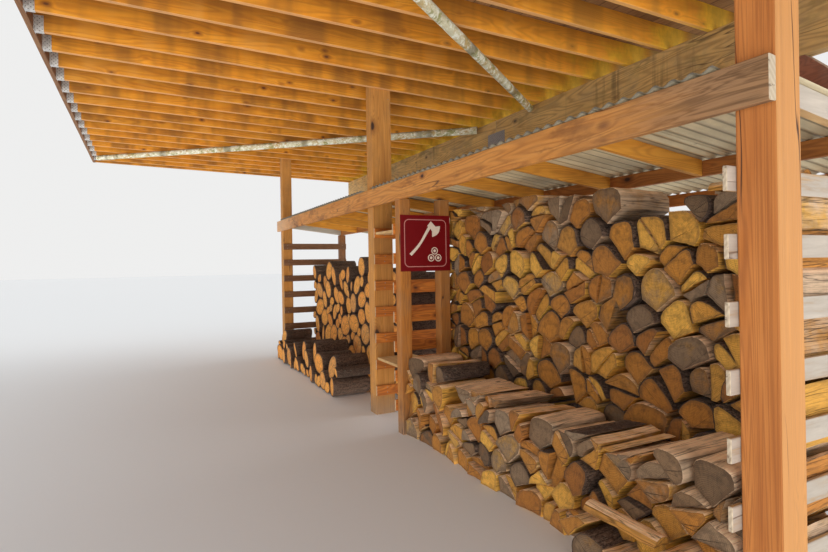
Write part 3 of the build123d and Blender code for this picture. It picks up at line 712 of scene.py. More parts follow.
def barkMaterial(name, look):
    paint = Paint(name, roughness=0.9)
    pith = paint.attribute("pithPlace", out="Vector")
    tone = paint.attribute("logTone")
    x, y, z = paint.parts(pith)
    wrapped = paint.joined(x * 3.4, paint.turnAround(y, z) * 2.0, tone * 30.0)
    ridge = (paint.cloud(wrapped, 4.2, 3.0, 0.55, 0.5) - 0.5).size()
    furrow = paint.band(ridge, 0.0, 0.055, 1.0, 0.0)
    across = (paint.cloud(paint.stretched(wrapped, (2.2, 0.6, 1.0)), 7.0, 2.0, 0.5) - 0.5).size()
    flake = paint.band(across, 0.0, 0.04, 0.6, 0.0)
    scale = paint.cloud(wrapped, 22.0, 4.0, 0.7)
    blotch = paint.cloud(pith, 7.0, 3.0, 0.6)
    lichen = paint.band(paint.cloud(pith, 16.0, 4.0, 0.72), 0.60, 0.70)
    colour = paint.mixed(paint.band(scale, 0.3, 0.7), look["dark"], look["light"])
    colour = paint.mixed(furrow.larger(flake) * 0.85, colour, look["furrow"])
    colour = paint.mixed(lichen * look["lichen"], colour, (0.36, 0.37, 0.30))
    colour = paint.shaded(colour, 0.6 + 0.5 * blotch + tone * 0.35)
    return paint.finish(colour, 0.9, paint.bump(scale * 0.5 - furrow.larger(flake), 0.007))


# fresh and old hold the colours that a log can have, by its own tone from 0 to 1
splitLook = {
    "fresh": [(0.0, (0.38, 0.135, 0.016)), (0.22, (0.56, 0.235, 0.028)), (0.42, (0.34, 0.120, 0.018)),
              (0.64, (0.62, 0.29, 0.040)), (0.80, (0.84, 0.46, 0.075)), (1.0, (0.26, 0.072, 0.013))],
    "old": [(0.0, (0.14, 0.086, 0.048)), (0.3, (0.225, 0.128, 0.060)), (0.6, (0.30, 0.205, 0.125)),
            (1.0, (0.17, 0.100, 0.050))],
    "dirt": (0.085, 0.042, 0.018), "barkRing": (0.045, 0.025, 0.015),
}
roundLook = {
    "fresh": [(0.0, (0.92, 0.35, 0.052)), (0.5, (0.98, 0.46, 0.085)), (1.0, (0.94, 0.38, 0.062))],
    "old": [(0.0, (0.68, 0.28, 0.060)), (1.0, (0.78, 0.39, 0.11))],
    "dirt": (0.34, 0.13, 0.035), "barkRing": (0.040, 0.022, 0.015),
}
sideLook = {
    "fresh": [(0.0, (0.52, 0.20, 0.036)), (0.35, (0.70, 0.34, 0.055)), (0.7, (0.84, 0.46, 0.070)),
              (1.0, (0.50, 0.19, 0.042))],
    "old": [(0.0, (0.46, 0.30, 0.180)), (0.5, (0.68, 0.50, 0.340)), (1.0, (0.54, 0.34, 0.200))],
}
firBark = {
    "dark": (0.095, 0.056, 0.038), "light": (0.25, 0.165, 0.118), "furrow": (0.028, 0.016, 0.011),
    "lichen": 0.45,
}
alderBark = {
    "dark": (0.085, 0.050, 0.034), "light": (0.23, 0.145, 0.100), "furrow": (0.024, 0.014, 0.010),
    "lichen": 0.4,
}
splitMaterials = (endMaterial("splitLogEnd", splitLook), splitMaterial("splitLogFace", sideLook),
                  barkMaterial("splitLogBark", firBark))
roundMaterials = (endMaterial("roundLogEnd", roundLook), splitMaterials[1],
                  barkMaterial("roundLogBark", alderBark))
quarterTurn = Matrix(((0, -1, 0), (1, 0, 0), (0, 0, 1)))    # for logs that lie along Y


def logCell(faces):    # a CAD log's outline across its length, turned to lie along X, and its two ends
    points = [Vector(key) for face in faces for key in face]
    spans = [max(p[i] for p in points) - min(p[i] for p in points) for i in range(2)]
    turned = spans[1] > 0.4 and spans[0] < 0.3    # long in Y and narrow in X
    if turned:
        points = [quarterTurn.transposed() @ point for point in points]
    start, stop = min(p.x for p in points), max(p.x for p in points)
    corners = {(round(p.y, 5), round(p.z, 5)) for p in points if p.x < start + 1e-4}
    outline = [Vector(corner) for corner in corners]
    centre = sum(outline, Vector((0, 0))) / len(outline)
    outline.sort(key=lambda point: math.atan2(point.y - centre.y, point.x - centre.x))
    return {"outline": outline, "centre": centre, "start": start, "stop": stop, "turned": turned}


def cornersCut(line):    # one round of corner cutting, with the two ends kept
    cut = [line[0]]
    for here, ahead in zip(line, line[1:]):
        cut += [here.lerp(ahead, 0.25), here.lerp(ahead, 0.75)]
    return cut + [line[-1]]


def evenly(line, count):    # points at even steps along a line
    lengths = [(ahead - here).length for here, ahead in zip(line, line[1:])]
    whole, points = sum(lengths), []
    for step in range(count):
        left = whole * step / count
        for index, length in enumerate(lengths):
            if left <= length or index == len(lengths) - 1:
                points.append(line[index].lerp(line[index + 1], left / length))
                break
            left -= length
    return points


def splitShape(cell, dice):    # flat where it was split, round on its bark side
    outline, centre = cell["outline"], cell["centre"]
    count = len(outline)
    sides = [outline[(i + 1) % count] - outline[i] for i in range(count)]
    edges = [side.length + side.x * firewood["downward"] for side in sides]
    first, flats = edges.index(max(edges)), 1
    if count > 3 and dice.random() < firewood["wedgeShare"]:
        flats = 2
        if edges[first - 1] > edges[(first + 1) % count]:
            first = (first - 1) % count
    corners = [outline[(first + step) % count] for step in range(count + 1)]
    pith = corners[1] if flats == 2 else (corners[0] + corners[1]) / 2
    shape = []
    for here, ahead in zip(corners[:flats], corners[1:flats + 1]):
        pieces = max(int((ahead - here).length / firewood["flatStep"]), 1)
        shape += [(here.lerp(ahead, step / pieces), False, step == 0) for step in range(pieces)]
    arc = corners[flats:]
    for _ in range(3):
        arc = cornersCut(arc)
    shape += [(point, True, step == 0) for step, point in enumerate(evenly(arc, firewood["arcPoints"]))]
    gap = dice.uniform(*firewood["gap"])
    placed = []
    for point, isBark, isCorner in shape:
        away = point - centre
        placed.append((away * (1 - gap / away.length), isBark, isCorner))
    return placed, centre, pith - centre


def edgeDistance(edge, point):    # from the line through an edge
    side = (edge[1] - edge[0]).normalized()
    return abs((point.x - edge[0].x) * side.y - (point.y - edge[0].y) * side.x)


def reachOfCell(outline, centre, heading):    # how far the cell goes from its centre in one direction
    best = 1e9
    for here, ahead in zip(outline, outline[1:] + outline[:1]):
        side = ahead - here
        across = heading.x * side.y - heading.y * side.x
        if abs(across) > 1e-9:
            out = ((here.x - centre.x) * side.y - (here.y - centre.y) * side.x) / across
            best = min(best, out) if out > 0 else best
    return best


def roundShape(cell, dice):    # nearly a circle, flattened only where it meets its neighbours
    outline, centre = cell["outline"], cell["centre"]
    edges = list(zip(outline, outline[1:] + outline[:1]))
    for _ in range(firewood["settleSteps"]):    # settle on the middle of the largest circle in the cell
        near = min(edges, key=lambda edge: edgeDistance(edge, centre))
        side = (near[1] - near[0]).normalized()
        centre = centre + Vector((-side.y, side.x)) * firewood["settleStep"]
    radius = min(edgeDistance(edge, centre) for edge in edges)
    oval, phase = dice.uniform(0.0, 0.05), dice.uniform(0, 3)
    shape = []
    for step in range(firewood["roundSides"]):
        angle = 2 * math.pi * step / firewood["roundSides"]
        heading = Vector((math.cos(angle), math.sin(angle)))
        flat = reachOfCell(outline, centre, heading) - firewood["roundGap"]
        full = radius * (1.02 + oval * math.cos(2 * angle + phase))
        shape.append((heading * min(flat, full), True, False))
    return shape, centre, Vector((dice.uniform(-0.1, 0.1), dice.uniform(-0.1, 0.1))) * radius


def coverSides(bm, loops, shape, hasBark):    # bark or split wood along a log
    for loop, following in zip(loops, loops[1:]):
        for index, face in enumerate(faceStrip(bm, loop, following)):
            flat, isBark, isCorner = shape[index]
            face.material_index = 2 if isBark and hasBark else 1
            face.smooth = True
            if isCorner:
                bm.edges.get((loop[index], following[index])).smooth = False


def coverEnd(bm, loop, inner, heart, turned):    # a sawn end: one ring of faces, and one round its heart
    for index in range(len(loop)):
        ahead = (index + 1) % len(loop)
        bm.edges.get((loop[index], loop[ahead])).smooth = False
        outside = [loop[index], inner[index], inner[ahead], loop[ahead]]
        for corners in (outside, [inner[index], heart, inner[ahead]]):
            bm.faces.new(corners if turned else corners[::-1]).material_index = 0


def addLog(bm, cell, shape, centre, pith, dice, look):    # the order of the draws matters
    layers = bm.verts.layers
    start, stop = cell["start"], cell["stop"]
    bend = Vector((dice.uniform(-1, 1), dice.uniform(-1, 1))) * firewood["bend"]
    tilt = [dice.uniform(-1, 1) * firewood["sawTilt"] for _ in range(4)]
    taper = dice.uniform(-1, 1) * firewood["taper"]
    offset = Vector((dice.uniform(0, 50), dice.uniform(0, 50), dice.uniform(0, 50)))
    middle = Vector(((start + stop) / 2, centre.x, centre.y))
    pose = Matrix.Rotation(dice.uniform(-1, 1) * look["loose"], 3, "Z")
    pose = pose @ Matrix.Rotation(dice.uniform(-1, 1) * look["loose"] * 0.4, 3, "Y")
    hasBark = dice.random() < look["bark"]
    size, fade = max(flat.length for flat, _, _ in shape), firewood["sawFade"]

    def place(share, flat, inset=1.0):
        shift = bend * math.sin(math.pi * share)
        scale = (1 - abs(taper) / 2 + taper * (share - 0.5)) * inset
        x = start + (stop - start) * share
        nearEnd = max(1 - share / fade, 0) + max((share - (1 - fade)) / fade, 0)
        slant = tilt[:2] if share < 0.5 else tilt[2:]
        x += (flat.x * slant[0] + flat.y * slant[1] + size * 0.05) * nearEnd * (1 if share < 0.5 else -1)
        return Vector((x, centre.x + shift.x + flat.x * scale, centre.y + shift.y + flat.y * scale))

    def vertex(point, flat, rim):
        made = bm.verts.new(pose @ (point - middle) + middle)
        if cell["turned"]:
            made.co = quarterTurn @ made.co
        made.co.z = max(made.co.z, 0.0)
        made[layers.float_vector["pithPlace"]] = Vector((point.x - start, flat.x - pith.x, flat.y - pith.y))
        made[layers.float["logTone"]] = look["tone"]
        made[layers.float["logAge"]] = look["age"]
        made[layers.float["rimMark"]] = rim
        return made

    loops = []
    stations = firewood["stations"]
    shares = [0.0, 0.012] + [step / stations for step in range(1, stations)] + [0.988, 1.0]
    for share in shares:
        loop = []
        for flat, isBark, isCorner in shape:
            point = place(share, flat, firewood["endInset"] if share in (0.0, 1.0) else 1.0)
            rough = firewood["barkRough"] if isBark and hasBark else firewood["splitRough"]
            spot = Vector((point.x * (0.7 if isBark else 0.25), point.y, point.z))
            spot = spot * firewood["roughScale"] + offset
            out = Vector((0.0, flat.x, flat.y)).normalized()
            depth = abs(noise.noise(spot)) + 0.45 * abs(noise.noise(spot * 2.7))
            point = point - out * (depth * rough * 1.5)
            loop.append(vertex(point, flat, 1.0 if isBark and hasBark else 0.7))
        loops.append(loop)
    coverSides(bm, loops, shape, hasBark)
    for loop, share, turned in ((loops[0], 0.0, True), (loops[-1], 1.0, False)):
        inner = []
        for flat, _, _ in shape:
            point = place(share, flat * 0.5)
            point.x += dice.uniform(-1, 1) * firewood["endUneven"]
            inner.append(vertex(point, flat * 0.5, 0.0))
        heart = vertex(place(share, Vector((0, 0))), Vector((0, 0)), 0.0)
        coverEnd(bm, loop, inner, heart, turned)


def stackedWood(node, name, slot, materials, shapeOf, lookOf):
    bm = bmesh.new()
    bm.verts.layers.float_vector.new("pithPlace")
    for layer in ("logTone", "logAge", "rimMark"):
        bm.verts.layers.float.new(layer)
    for faces in cadSolids(node):
        cell = logCell(faces)
        centre = cell["centre"]
        dice = random.Random(int(centre.x * 1000) * 7919 + int(centre.y * 1000))    # by the log's place
        shape, centre, pith = shapeOf(cell, dice)
        look = lookOf(cell, dice)
        look["tone"] = dice.random()
        addLog(bm, cell, shape, centre, pith, dice, look)
    bmesh.ops.recalc_face_normals(bm, faces=bm.faces)
    return newPiece(name, bm, materials, slot, node)


def tallSplitLog(cell, dice):
    across, rise = cell["centre"]
    age = dice.random() ** 1.5 * 0.70 + (0.3 if rise > firewood["greyTop"] else 0.0)
    bare = across < firewood["bareEnd"] or rise > firewood["bareTop"]
    return {"age": age, "bark": firewood["bareBark" if bare else "tallBark"], "loose": 0.03}


def lowSplitLog(cell, dice):
    onTop = cell["centre"].y > firewood["lowTop"]
    return {"age": dice.random() * 0.75 + (0.22 if onTop else 0.05),
            "bark": firewood["topBark" if onTop else "lowBark"], "loose": 0.09 if onTop else 0.04}


def roundLog(cell, dice):
    return {"age": dice.uniform(0, 0.62), "bark": 1.0, "loose": 0.012}


for node, name, slot, materials, shapeOf, lookOf in (
    ("split_stack_tall", "tallSplitStack", "split_firewood", splitMaterials, splitShape, tallSplitLog),
    ("split_stack_low", "lowSplitStack", "split_firewood", splitMaterials, splitShape, lowSplitLog),
    ("round_stack_tall", "tallRoundStack", "round_firewood", roundMaterials, roundShape, roundLog),
    ("round_stack_low", "lowRoundStack", "round_firewood", roundMaterials, roundShape, roundLog),
):
    stackedWood(node, name, slot, materials, shapeOf, lookOf)
print("firewood stacked")


# metal
def galvanised(name, tint, rust, holes=False):    # holes=True adds rows of dark nail holes
    paint = Paint(name, roughness=0.42, metallic=0.75)
    place = paint.place()
    spangle = paint.cells(place, 70.0, out="Color")
    streak = paint.cloud(paint.stretched(place, (0.25, 1.0, 1.0)), 9.0, 4.0, 0.65)
    stain = paint.cloud(place, 3.0, 4.0, 0.65)
    flake = paint.parts(spangle)[0]
    colour = paint.shaded(tint, 0.78 + 0.22 * flake + 0.22 * streak)
    colour = paint.mixed(paint.band(stain, 0.55, 0.75) * rust, colour, (0.22, 0.12, 0.06))
    if holes:
        x, y, z = paint.parts(place)
        dots = ((x + y) * 210.0).sine() * (z * 210.0).sine()
        colour = paint.mixed(paint.band(dots, 0.70, 0.82) * 0.85, colour, (0.06, 0.055, 0.05))
    rough = 0.34 + 0.12 * flake + 0.25 * stain
    return paint.finish(colour, rough, paint.bump(flake * 0.4 + streak, 0.0004))


def dressNode(node, material):    # a CAD node that keeps its own shape
    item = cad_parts[node]
    item.data.materials.clear()
    item.data.materials.append(material)


dressNode("joist_hangers", galvanised("hangerZinc", (0.74, 0.75, 0.74), 0.05, holes=True))
dressNode("splice_plate", galvanised("plateZinc", (0.34, 0.35, 0.37), 0.15, holes=True))
dressNode("roof_sheets", galvanised("roofZinc", (0.52, 0.53, 0.52), 0.2))
nailSteel = galvanised("nailZinc", (0.30, 0.29, 0.27), 0.2)


def dullSheet(name, look):    # old galvanised sheet, gone dull, with painted shade as dark lines in its hollows seen from beneath
    paint = Paint(name, roughness=0.55, metallic=0.3)
    place = paint.place()
    x, y, z = paint.parts(place)
    streak = paint.cloud(paint.stretched(place, (0.5, 6.0, 1.0)), 5.0, 4.0, 0.65)
    stain = paint.cloud(paint.stretched(place, (0.6, 1.0, 1.0)), 2.6, 4.0, 0.65)
    fleck = paint.cloud(place, 160.0, 2.0, 0.6)
    stained = paint.band(stain, 0.35, 0.7)
    underneath = paint.mixed(stained, look["pale"], look["dull"])
    outside = paint.mixed(stained, look["paleOutside"], look["dullOutside"])
    colour = paint.mixed(paint.band(paint.facing()[2], 0.0, 0.3), underneath, outside)
    colour = paint.shaded(colour, 0.74 + 0.34 * streak + 0.16 * fleck)
    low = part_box("low_roof_sheets")[0]
    # painted shade: dark lines along the hollows of the underside
    wave = ((y - low.y) * (6.2832 / look["wave"])).sine()
    colour = paint.mixed(paint.band(wave, -0.98, -0.80, 0.55, 0.0), colour, look["hollowShade"])
    rust = paint.band(paint.cloud(place, 7.0, 4.0, 0.7), 0.66, 0.76)
    colour = paint.mixed(rust * 0.5, colour, (0.20, 0.095, 0.045))
    # painted shade: a dark strip along the sheets' upper edge, by the front beam
    paintedEaveShade = paint.band(x, low.x, low.x + 0.05, 0.8, 0.0)
    colour = paint.mixed(paintedEaveShade, colour, (0.11, 0.10, 0.085))
    return paint.finish(colour, 0.42 + 0.25 * streak, paint.bump(streak + fleck * 0.4, 0.0006))


lowSheet = {
    "wave": 0.085,
    "depth": 0.017,
    "perWave": 10,
    "gauge": 0.0007,
    "sheetWaves": 8,      # each sheet is this wide and laps one wave over the next
    "lapLift": 0.0011,
    "fall": 0.125,
    "postGap": 0.05,
    "lift": 0.0003,       # off the front beam
    "stop": 0.25,         # a row of points about this often down the slope
    "rearGap": 0.002,
    "pale": (0.76, 0.66, 0.44),
    "dull": (0.52, 0.45, 0.30),
    "hollowShade": (0.12, 0.094, 0.060),
    "paleOutside": (0.44, 0.44, 0.42),
    "dullOutside": (0.30, 0.295, 0.275),
}


def postNotches():    # where the sheets are cut away round the tall posts
    gap, notches = lowSheet["postGap"], []
    for post in ("post_near", "post_middle", "post_far"):
        low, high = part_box(post)
        notches.append((low.y - gap, high.y + gap, high.x + gap))
    return notches


def laySheet(bm, cells, stops, underside, lift):    # one sheet, closed along every open edge
    corners = {}

    def corner(column, x, above):
        key = (column, x, above)
        if key not in corners:
            thick = lowSheet["gauge"] if above else 0
            corners[key] = bm.verts.new(underside(column, x) + Vector((0, 0, lift + thick)))
        return corners[key]

    for column, index in sorted(cells):
        x, ahead = stops[index], stops[index + 1]
        under = ((column, x), (column, ahead), (column + 1, ahead), (column + 1, x))
        for above, loop in ((False, under), (True, under[:1] + under[:0:-1])):
            bm.faces.new([corner(*spot, above) for spot in loop]).smooth = True
        sides = (((column, index - 1), under[0], under[3]), ((column, index + 1), under[2], under[1]),
                 ((column - 1, index), under[1], under[0]), ((column + 1, index), under[3], under[2]))
        for beside, one, other in sides:
            if beside not in cells:
                spots = ((one, True), (one, False), (other, False), (other, True))
                bm.faces.new([corner(*spot, above) for spot, above in spots])


def corrugatedRoof():
    low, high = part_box("low_roof_sheets")
    beamLow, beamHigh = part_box("front_beam")
    columns = round((high.y - low.y) / lowSheet["wave"]) * lowSheet["perWave"]
    notches = postNotches()
    between = range(1, int((high.x - low.x) / lowSheet["stop"]))
    rows = {low.x + lowSheet["stop"] * k for k in between} | {rear for near, far, rear in notches}
    stops = sorted({low.x, high.x - lowSheet["rearGap"]} | rows)

    def spread(column):
        return low.y + (high.y - low.y) * column / columns

    def underside(column, x):
        wave = 0.5 - 0.5 * math.cos(2 * math.pi * (column / lowSheet["perWave"] - 0.25))
        slope = beamHigh.z + lowSheet["lift"] + lowSheet["fall"] * (beamLow.x - x)
        return Vector((x, spread(column), slope + wave * lowSheet["depth"]))

    bm = bmesh.new()
    width = lowSheet["sheetWaves"] * lowSheet["perWave"]
    for number, first in enumerate(range(0, columns, width)):
        cells = set()
        for column in range(first, min(first + width + lowSheet["perWave"], columns)):
            y = spread(column + 0.5)
            for index in range(len(stops) - 1):
                x = (stops[index] + stops[index + 1]) / 2
                if not any(near < y < far and x < rear for near, far, rear in notches):
                    cells.add((column, index))
        laySheet(bm, cells, stops, underside, lowSheet["lapLift"] * (number % 2))
    bmesh.ops.recalc_face_normals(bm, faces=bm.faces)
    sheetFinish = dullSheet("dullSheet", lowSheet)
    return newPiece("corrugatedRoof", bm, (sheetFinish,), "low_roof_sheet", "low_roof_sheets")


corrugatedRoof()
print("sheets laid")


deck = {
    "board": 0.14,
    "light": (0.40, 0.22, 0.09),
    "dark": (0.17, 0.075, 0.025),
}


def deckBoards():    # boards laid along Y over the joists, told apart by their tone and joints
    paint = Paint("deckBoards", roughness=0.8)
    place = paint.place()
    x, y, z = paint.parts(place)
    board = x / deck["board"]
    own = paint.node("TexWhiteNoise", {"noise_dimensions": "1D"}, W=board.maths("FLOOR"))
    figure = paint.cloud(paint.joined(x + own * 7.0, y * 0.06 + own * 11.0, z), 9.0)
    lines = ((figure * 90.0).sine() * 0.5 + 0.5) ** 1.6
    fibre = paint.cloud(paint.stretched(place, (1.0, 0.03, 1.0)), 240.0, 3.0, 0.7)
    colour = paint.mixed(lines * 0.4, deck["light"], deck["dark"])
    colour = paint.shaded(colour, 0.55 + own * 0.5 + fibre * 0.3)
    joint = paint.band((board.maths("FRACT") - 0.5).size(), 0.475, 0.495)
    colour = paint.mixed(joint, colour, (0.02, 0.012, 0.008))
    return paint.finish(colour, None, paint.bump(fibre - joint * 3.0, 0.002))


dressNode("roof_deck", deckBoards())


# the two peeled poles that brace the roof
pole = {
    "steps": 44,
    "sides": 18,
    "bend": 0.012,
    "slim": 0.96,         # its thick end, in radii of the CAD pole
    "thinEnd": 0.80,      # its thin end, in radii of the thick one
    "knobbly": 0.07,
    "oval": 0.03,
}


def poleBark():
    paint = Paint("lichenPole", roughness=0.85)
    place = paint.place()
    reach = paint.attribute("alongPole")
    streak = paint.cloud(paint.joined(reach * 0.8, 0.0, 0.0), 3.0, 3.0, 0.6)
    patch = paint.cloud(place, 6.0, 4.0, 0.65)
    speck = paint.cloud(paint.stretched(place, (0.7, 0.35, 1.0)), 30.0, 4.0, 0.7)
    grain = paint.cloud(paint.stretched(place, (0.4, 0.4, 3.0)), 60.0, 3.0, 0.6)
    colour = paint.mixed(paint.band(patch, 0.36, 0.58), (0.52, 0.37, 0.14), (0.68, 0.66, 0.47))
    colour = paint.mixed(paint.band(speck, 0.48, 0.58) * 0.9, colour, (0.88, 0.90, 0.78))
    moss = paint.cloud(paint.stretched(place, (1.4, 0.5, 1.4)), 9.0, 4.0, 0.7)
    colour = paint.mixed(paint.band(moss, 0.52, 0.62) * 0.8, colour, (0.25, 0.25, 0.055))
    colour = paint.mixed(paint.band(streak, 0.52, 0.64) * 0.7, colour, (0.15, 0.12, 0.05))
    colour = paint.shaded(colour, 0.74 + grain * 0.5)
    return paint.finish(colour, None, paint.bump(speck + grain, 0.002))


def poleEnds(node):    # the middles of the CAD pole's two ends, and its radius
    points = [vertex.co.copy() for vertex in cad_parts[node].data.vertices]
    first = min(points, key=lambda p: p.y)
    last = max(points, key=lambda p: p.y)
    direction = (last - first).normalized()
    spans = [p.dot(direction) for p in points]
    rims = []
    for limit in (min(spans), max(spans)):
        rims.append([p for p, span in zip(points, spans) if abs(span - limit) < 0.01])
    ends = [sum(rim, Vector()) / len(rim) for rim in rims]
    return ends, max((p - ends[0]).length for p in rims[0])


def peeledPole(node, name, material):    # along the CAD pole, slightly bent and tapered
    ends, radius = poleEnds(node)
    axis = (ends[1] - ends[0]).normalized()
    side = axis.cross(Vector((0, 0, 1))).normalized()
    up = side.cross(axis)
    dice = random.Random(name)
    phase = [dice.uniform(0, 6.28) for _ in range(4)]
    sides = pole["sides"]
    bm = bmesh.new()
    alongLayer = bm.verts.layers.float.new("alongPole")
    rings = []
    for step in range(pole["steps"] + 1):
        share = step / pole["steps"]
        sway = pole["bend"] * math.sin(math.pi * share)
        centre = ends[0].lerp(ends[1], share)
        centre += side * sway * math.sin(5 * share + phase[0]) - up * sway * 0.4
        thick = radius * (1 - (1 - pole["thinEnd"]) * share) * pole["slim"]
        ring = []
        for corner in range(sides):
            angle = 2 * math.pi * corner / sides
            spot = Vector((math.cos(angle) * 1.2, math.sin(angle) * 1.2, share * 30 + phase[1]))
            knob, oval = pole["knobbly"] * noise.noise(spot), pole["oval"] * math.sin(2 * angle + phase[2])
            out = thick * (1 + knob + oval)
            vertex = bm.verts.new(centre + (side * math.cos(angle) + up * math.sin(angle)) * out)
            vertex[alongLayer] = (ends[1] - ends[0]).length * share
            ring.append(vertex)
        rings.append(ring)
    for ring, following in zip(rings, rings[1:]):
        for face in faceStrip(bm, ring, following):
            face.smooth = True
    for ring in (rings[0], rings[-1]):
        bm.faces.new(ring).material_index = 1
        for corner in range(sides):
            bm.edges.get((ring[corner], ring[(corner + 1) % sides])).smooth = False
    bmesh.ops.recalc_face_normals(bm, faces=bm.faces)
    sawnEnd = materialPair("shelf")[1]
    newPiece(name, bm, (material, sawnEnd), "peeled_pole", node)


poleFinish = poleBark()
peeledPole("diagonal_pole_far", "farPole", poleFinish)
peeledPole("diagonal_pole_near", "nearPole", poleFinish)
print("deck and poles done")


# sign
sign = {
    "red": (0.165, 0.001, 0.004),
    "white": (0.78, 0.68, 0.58),
    "line": (0.54, 0.24, 0.22),
    "margin": 0.036,      # from the plate's edge to the border line
    "lineWidth": 0.007,
    "corner": 0.045,
    "proud": 0.0007,
    "lean": -40.0,        # the axe's degrees from upright, to the right below 0
    "axePlace": (-0.028, 0.040),
    "logPlaces": ((0.052, -0.128), (0.122, -0.128), (0.087, -0.067)),    # a small pile of three
    "logRings": (0.032, 0.024, 0.013),
}


def enamel(name, tint):
    paint = Paint(name, roughness=0.45)
    paint.shader.inputs["Specular IOR Level"].default_value = 0.2
    dust = paint.cloud(paint.place(), 24.0, 4.0, 0.65)
    scratch = paint.cloud(paint.stretched(paint.place(), (1.0, 1.0, 0.2)), 160.0, 2.0, 0.6)
    colour = paint.shaded(tint, 0.80 + 0.3 * dust + 0.12 * scratch)
    return paint.finish(colour, 0.34 + 0.3 * dust, paint.bump(scratch, 0.0002))


def roundedBox(half, corner, steps=6):
    outline = []
    for turn in range(4):
        middle = Vector((half - corner, half - corner))
        for step in range(steps + 1):
            angle = math.radians(90 * step / steps)
            point = middle + Vector((math.cos(angle), math.sin(angle))) * corner
            outline.append(Matrix.Rotation(math.radians(90 * turn), 2) @ point)
    return outline


def axeOutline():    # upright, in metres, with its head at the top
    handle = []
    for step in range(9):
        share = step / 8
        bow, wide = 0.010 * math.sin(4.2 * share) - 0.002, 0.0105 + 0.003 * abs(1 - 2 * share)
        handle.append((bow, -0.185 + 0.30 * share, wide))
    left = [Vector((x - wide, z)) for x, z, wide in handle]
    right = [Vector((x + wide, z)) for x, z, wide in handle]
    blade = [Vector((0.030, 0.108)), Vector((0.062, 0.070))]
    for step in range(1, 6):    # the curved cutting edge
        blade.append(Vector((0.062 + 0.026 * math.sin(math.pi * step / 6), 0.070 + 0.125 * step / 6)))
    blade += [Vector((0.062, 0.195)), Vector((0.030, 0.162))]
    poll = [Vector((-0.034, 0.168)), Vector((-0.036, 0.112))]
    return left[:1] + right + blade + poll + left[:0:-1]


def raisedShape(bm, middle, outlines, material):    # a flat shape just proud of the plate, facing -Y
    rows = []
    for outline in outlines:
        for y in (middle.y, middle.y - sign["proud"]):
            rows.append([bm.verts.new((middle.x + p.x, y, middle.z + p.y)) for p in outline])
    strips, faces = list(zip(rows[::2], rows[1::2])), []
    if len(outlines) == 2:    # a band, with a hole in its middle
        strips.append((rows[1], rows[3]))
    else:
        faces.append(bm.faces.new(rows[1]))
    for one, other in strips:
        faces += faceStrip(bm, one, other)
    for face in faces:
        face.material_index = material


def signDesign():
    low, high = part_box("sign")
    middle = Vector(((low.x + high.x) / 2, low.y, (low.z + high.z) / 2))
    bm = bmesh.new()
    half, thin = (high.x - low.x) / 2 - sign["margin"], sign["lineWidth"]
    border = (roundedBox(half, sign["corner"]), roundedBox(half - thin, sign["corner"] - thin))
    raisedShape(bm, middle, border, 1)
    lean = Matrix.Rotation(math.radians(sign["lean"]), 2)
    axe = [lean @ point + Vector(sign["axePlace"]) for point in axeOutline()]
    raisedShape(bm, middle, (axe,), 0)
    ring = [Vector((math.cos(k * math.pi / 12), math.sin(k * math.pi / 12))) for k in range(24)]
    for place in sign["logPlaces"]:
        bark, wood, heart = [[Vector(place) + p * radius for p in ring] for radius in sign["logRings"]]
        raisedShape(bm, middle, (bark, wood), 0)
        raisedShape(bm, middle, (heart,), 0)
    bmesh.ops.triangulate(bm, faces=[face for face in bm.faces if len(face.verts) > 4])
    bmesh.ops.recalc_face_normals(bm, faces=bm.faces)
    tints = (enamel("signWhite", sign["white"]), enamel("signLine", sign["line"]))
    newPiece("signDesign", bm, tints, "sign_face")


dressNode("sign", enamel("signRed", sign["red"]))
signDesign()


# nails
nail = {
    "radius": 0.0045,
    "proud": 0.0012,
    "sides": 10,
    "fromEdge": 0.024,    # in from a slat's top and bottom
    "jog": 0.012,         # how far off its line a nail may be
    "screw": 0.007,
    "screwEdge": 0.12,    # from a sheet's end to its first screw
    "rows": 8,
    "postNails": ((0.045, 0.075), (0.168, 0.078), (0.175, 0.250)),    # across, and down from the post's head
}


def nailHead(bm, centre, facing, radius=nail["radius"]):
    axis = Vector(facing).normalized()
    side = axis.orthogonal().normalized()
    other = axis.cross(side)
    rings = []
    proud = nail["proud"] * radius / nail["radius"]
    for out, wide in ((0.0, 1.0), (proud * 0.6, 1.0), (proud, 0.7)):
        ring = []
        for step in range(nail["sides"]):
            angle = 2 * math.pi * step / nail["sides"]
            spread = (side * math.cos(angle) + other * math.sin(angle)) * radius * wide
            ring.append(bm.verts.new(Vector(centre) + axis * out + spread))
        rings.append(ring)
    for ring, following in zip(rings, rings[1:]):
        faceStrip(bm, ring, following)
    bm.faces.new(rings[-1])


def middleOf(node):
    low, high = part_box(node)
    return (low + high) / 2


def slatNails():
    bm = bmesh.new()
    walls = (("near_slats", 1, ("post_near", "back_post_near")),
             ("divider_slats", 1, ("short_post_front", "short_post_back", "back_post_divider")),
             ("closet_slats", -1, ("post_middle", "back_post_middle")),
             ("far_slats", -1, ("post_far", "back_post_far")))
    for wall, side, posts in walls:
        low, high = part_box(wall)
        face = high.y if side > 0 else low.y
        heights = sorted({round(corner[2], 4) for corner in cadCorners(wall)})
        for bottom, top in zip(heights[::2], heights[1::2]):
            for post in posts:
                for z in (bottom + nail["fromEdge"], top - nail["fromEdge"]):
                    jog = random.Random(f"{wall}{post}{z:.3f}").uniform(-nail["jog"], nail["jog"])
                    nailHead(bm, (middleOf(post).x + jog, face, z + jog * 0.3), (0, side, 0))
    low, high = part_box("post_middle")
    for across, down in nail["postNails"]:
        nailHead(bm, (low.x + across, low.y, high.z - down), (0, -1, 0))
    bmesh.ops.recalc_face_normals(bm, faces=bm.faces)
    newPiece("slatNails", bm, (nailSteel,), "galvanised_steel")


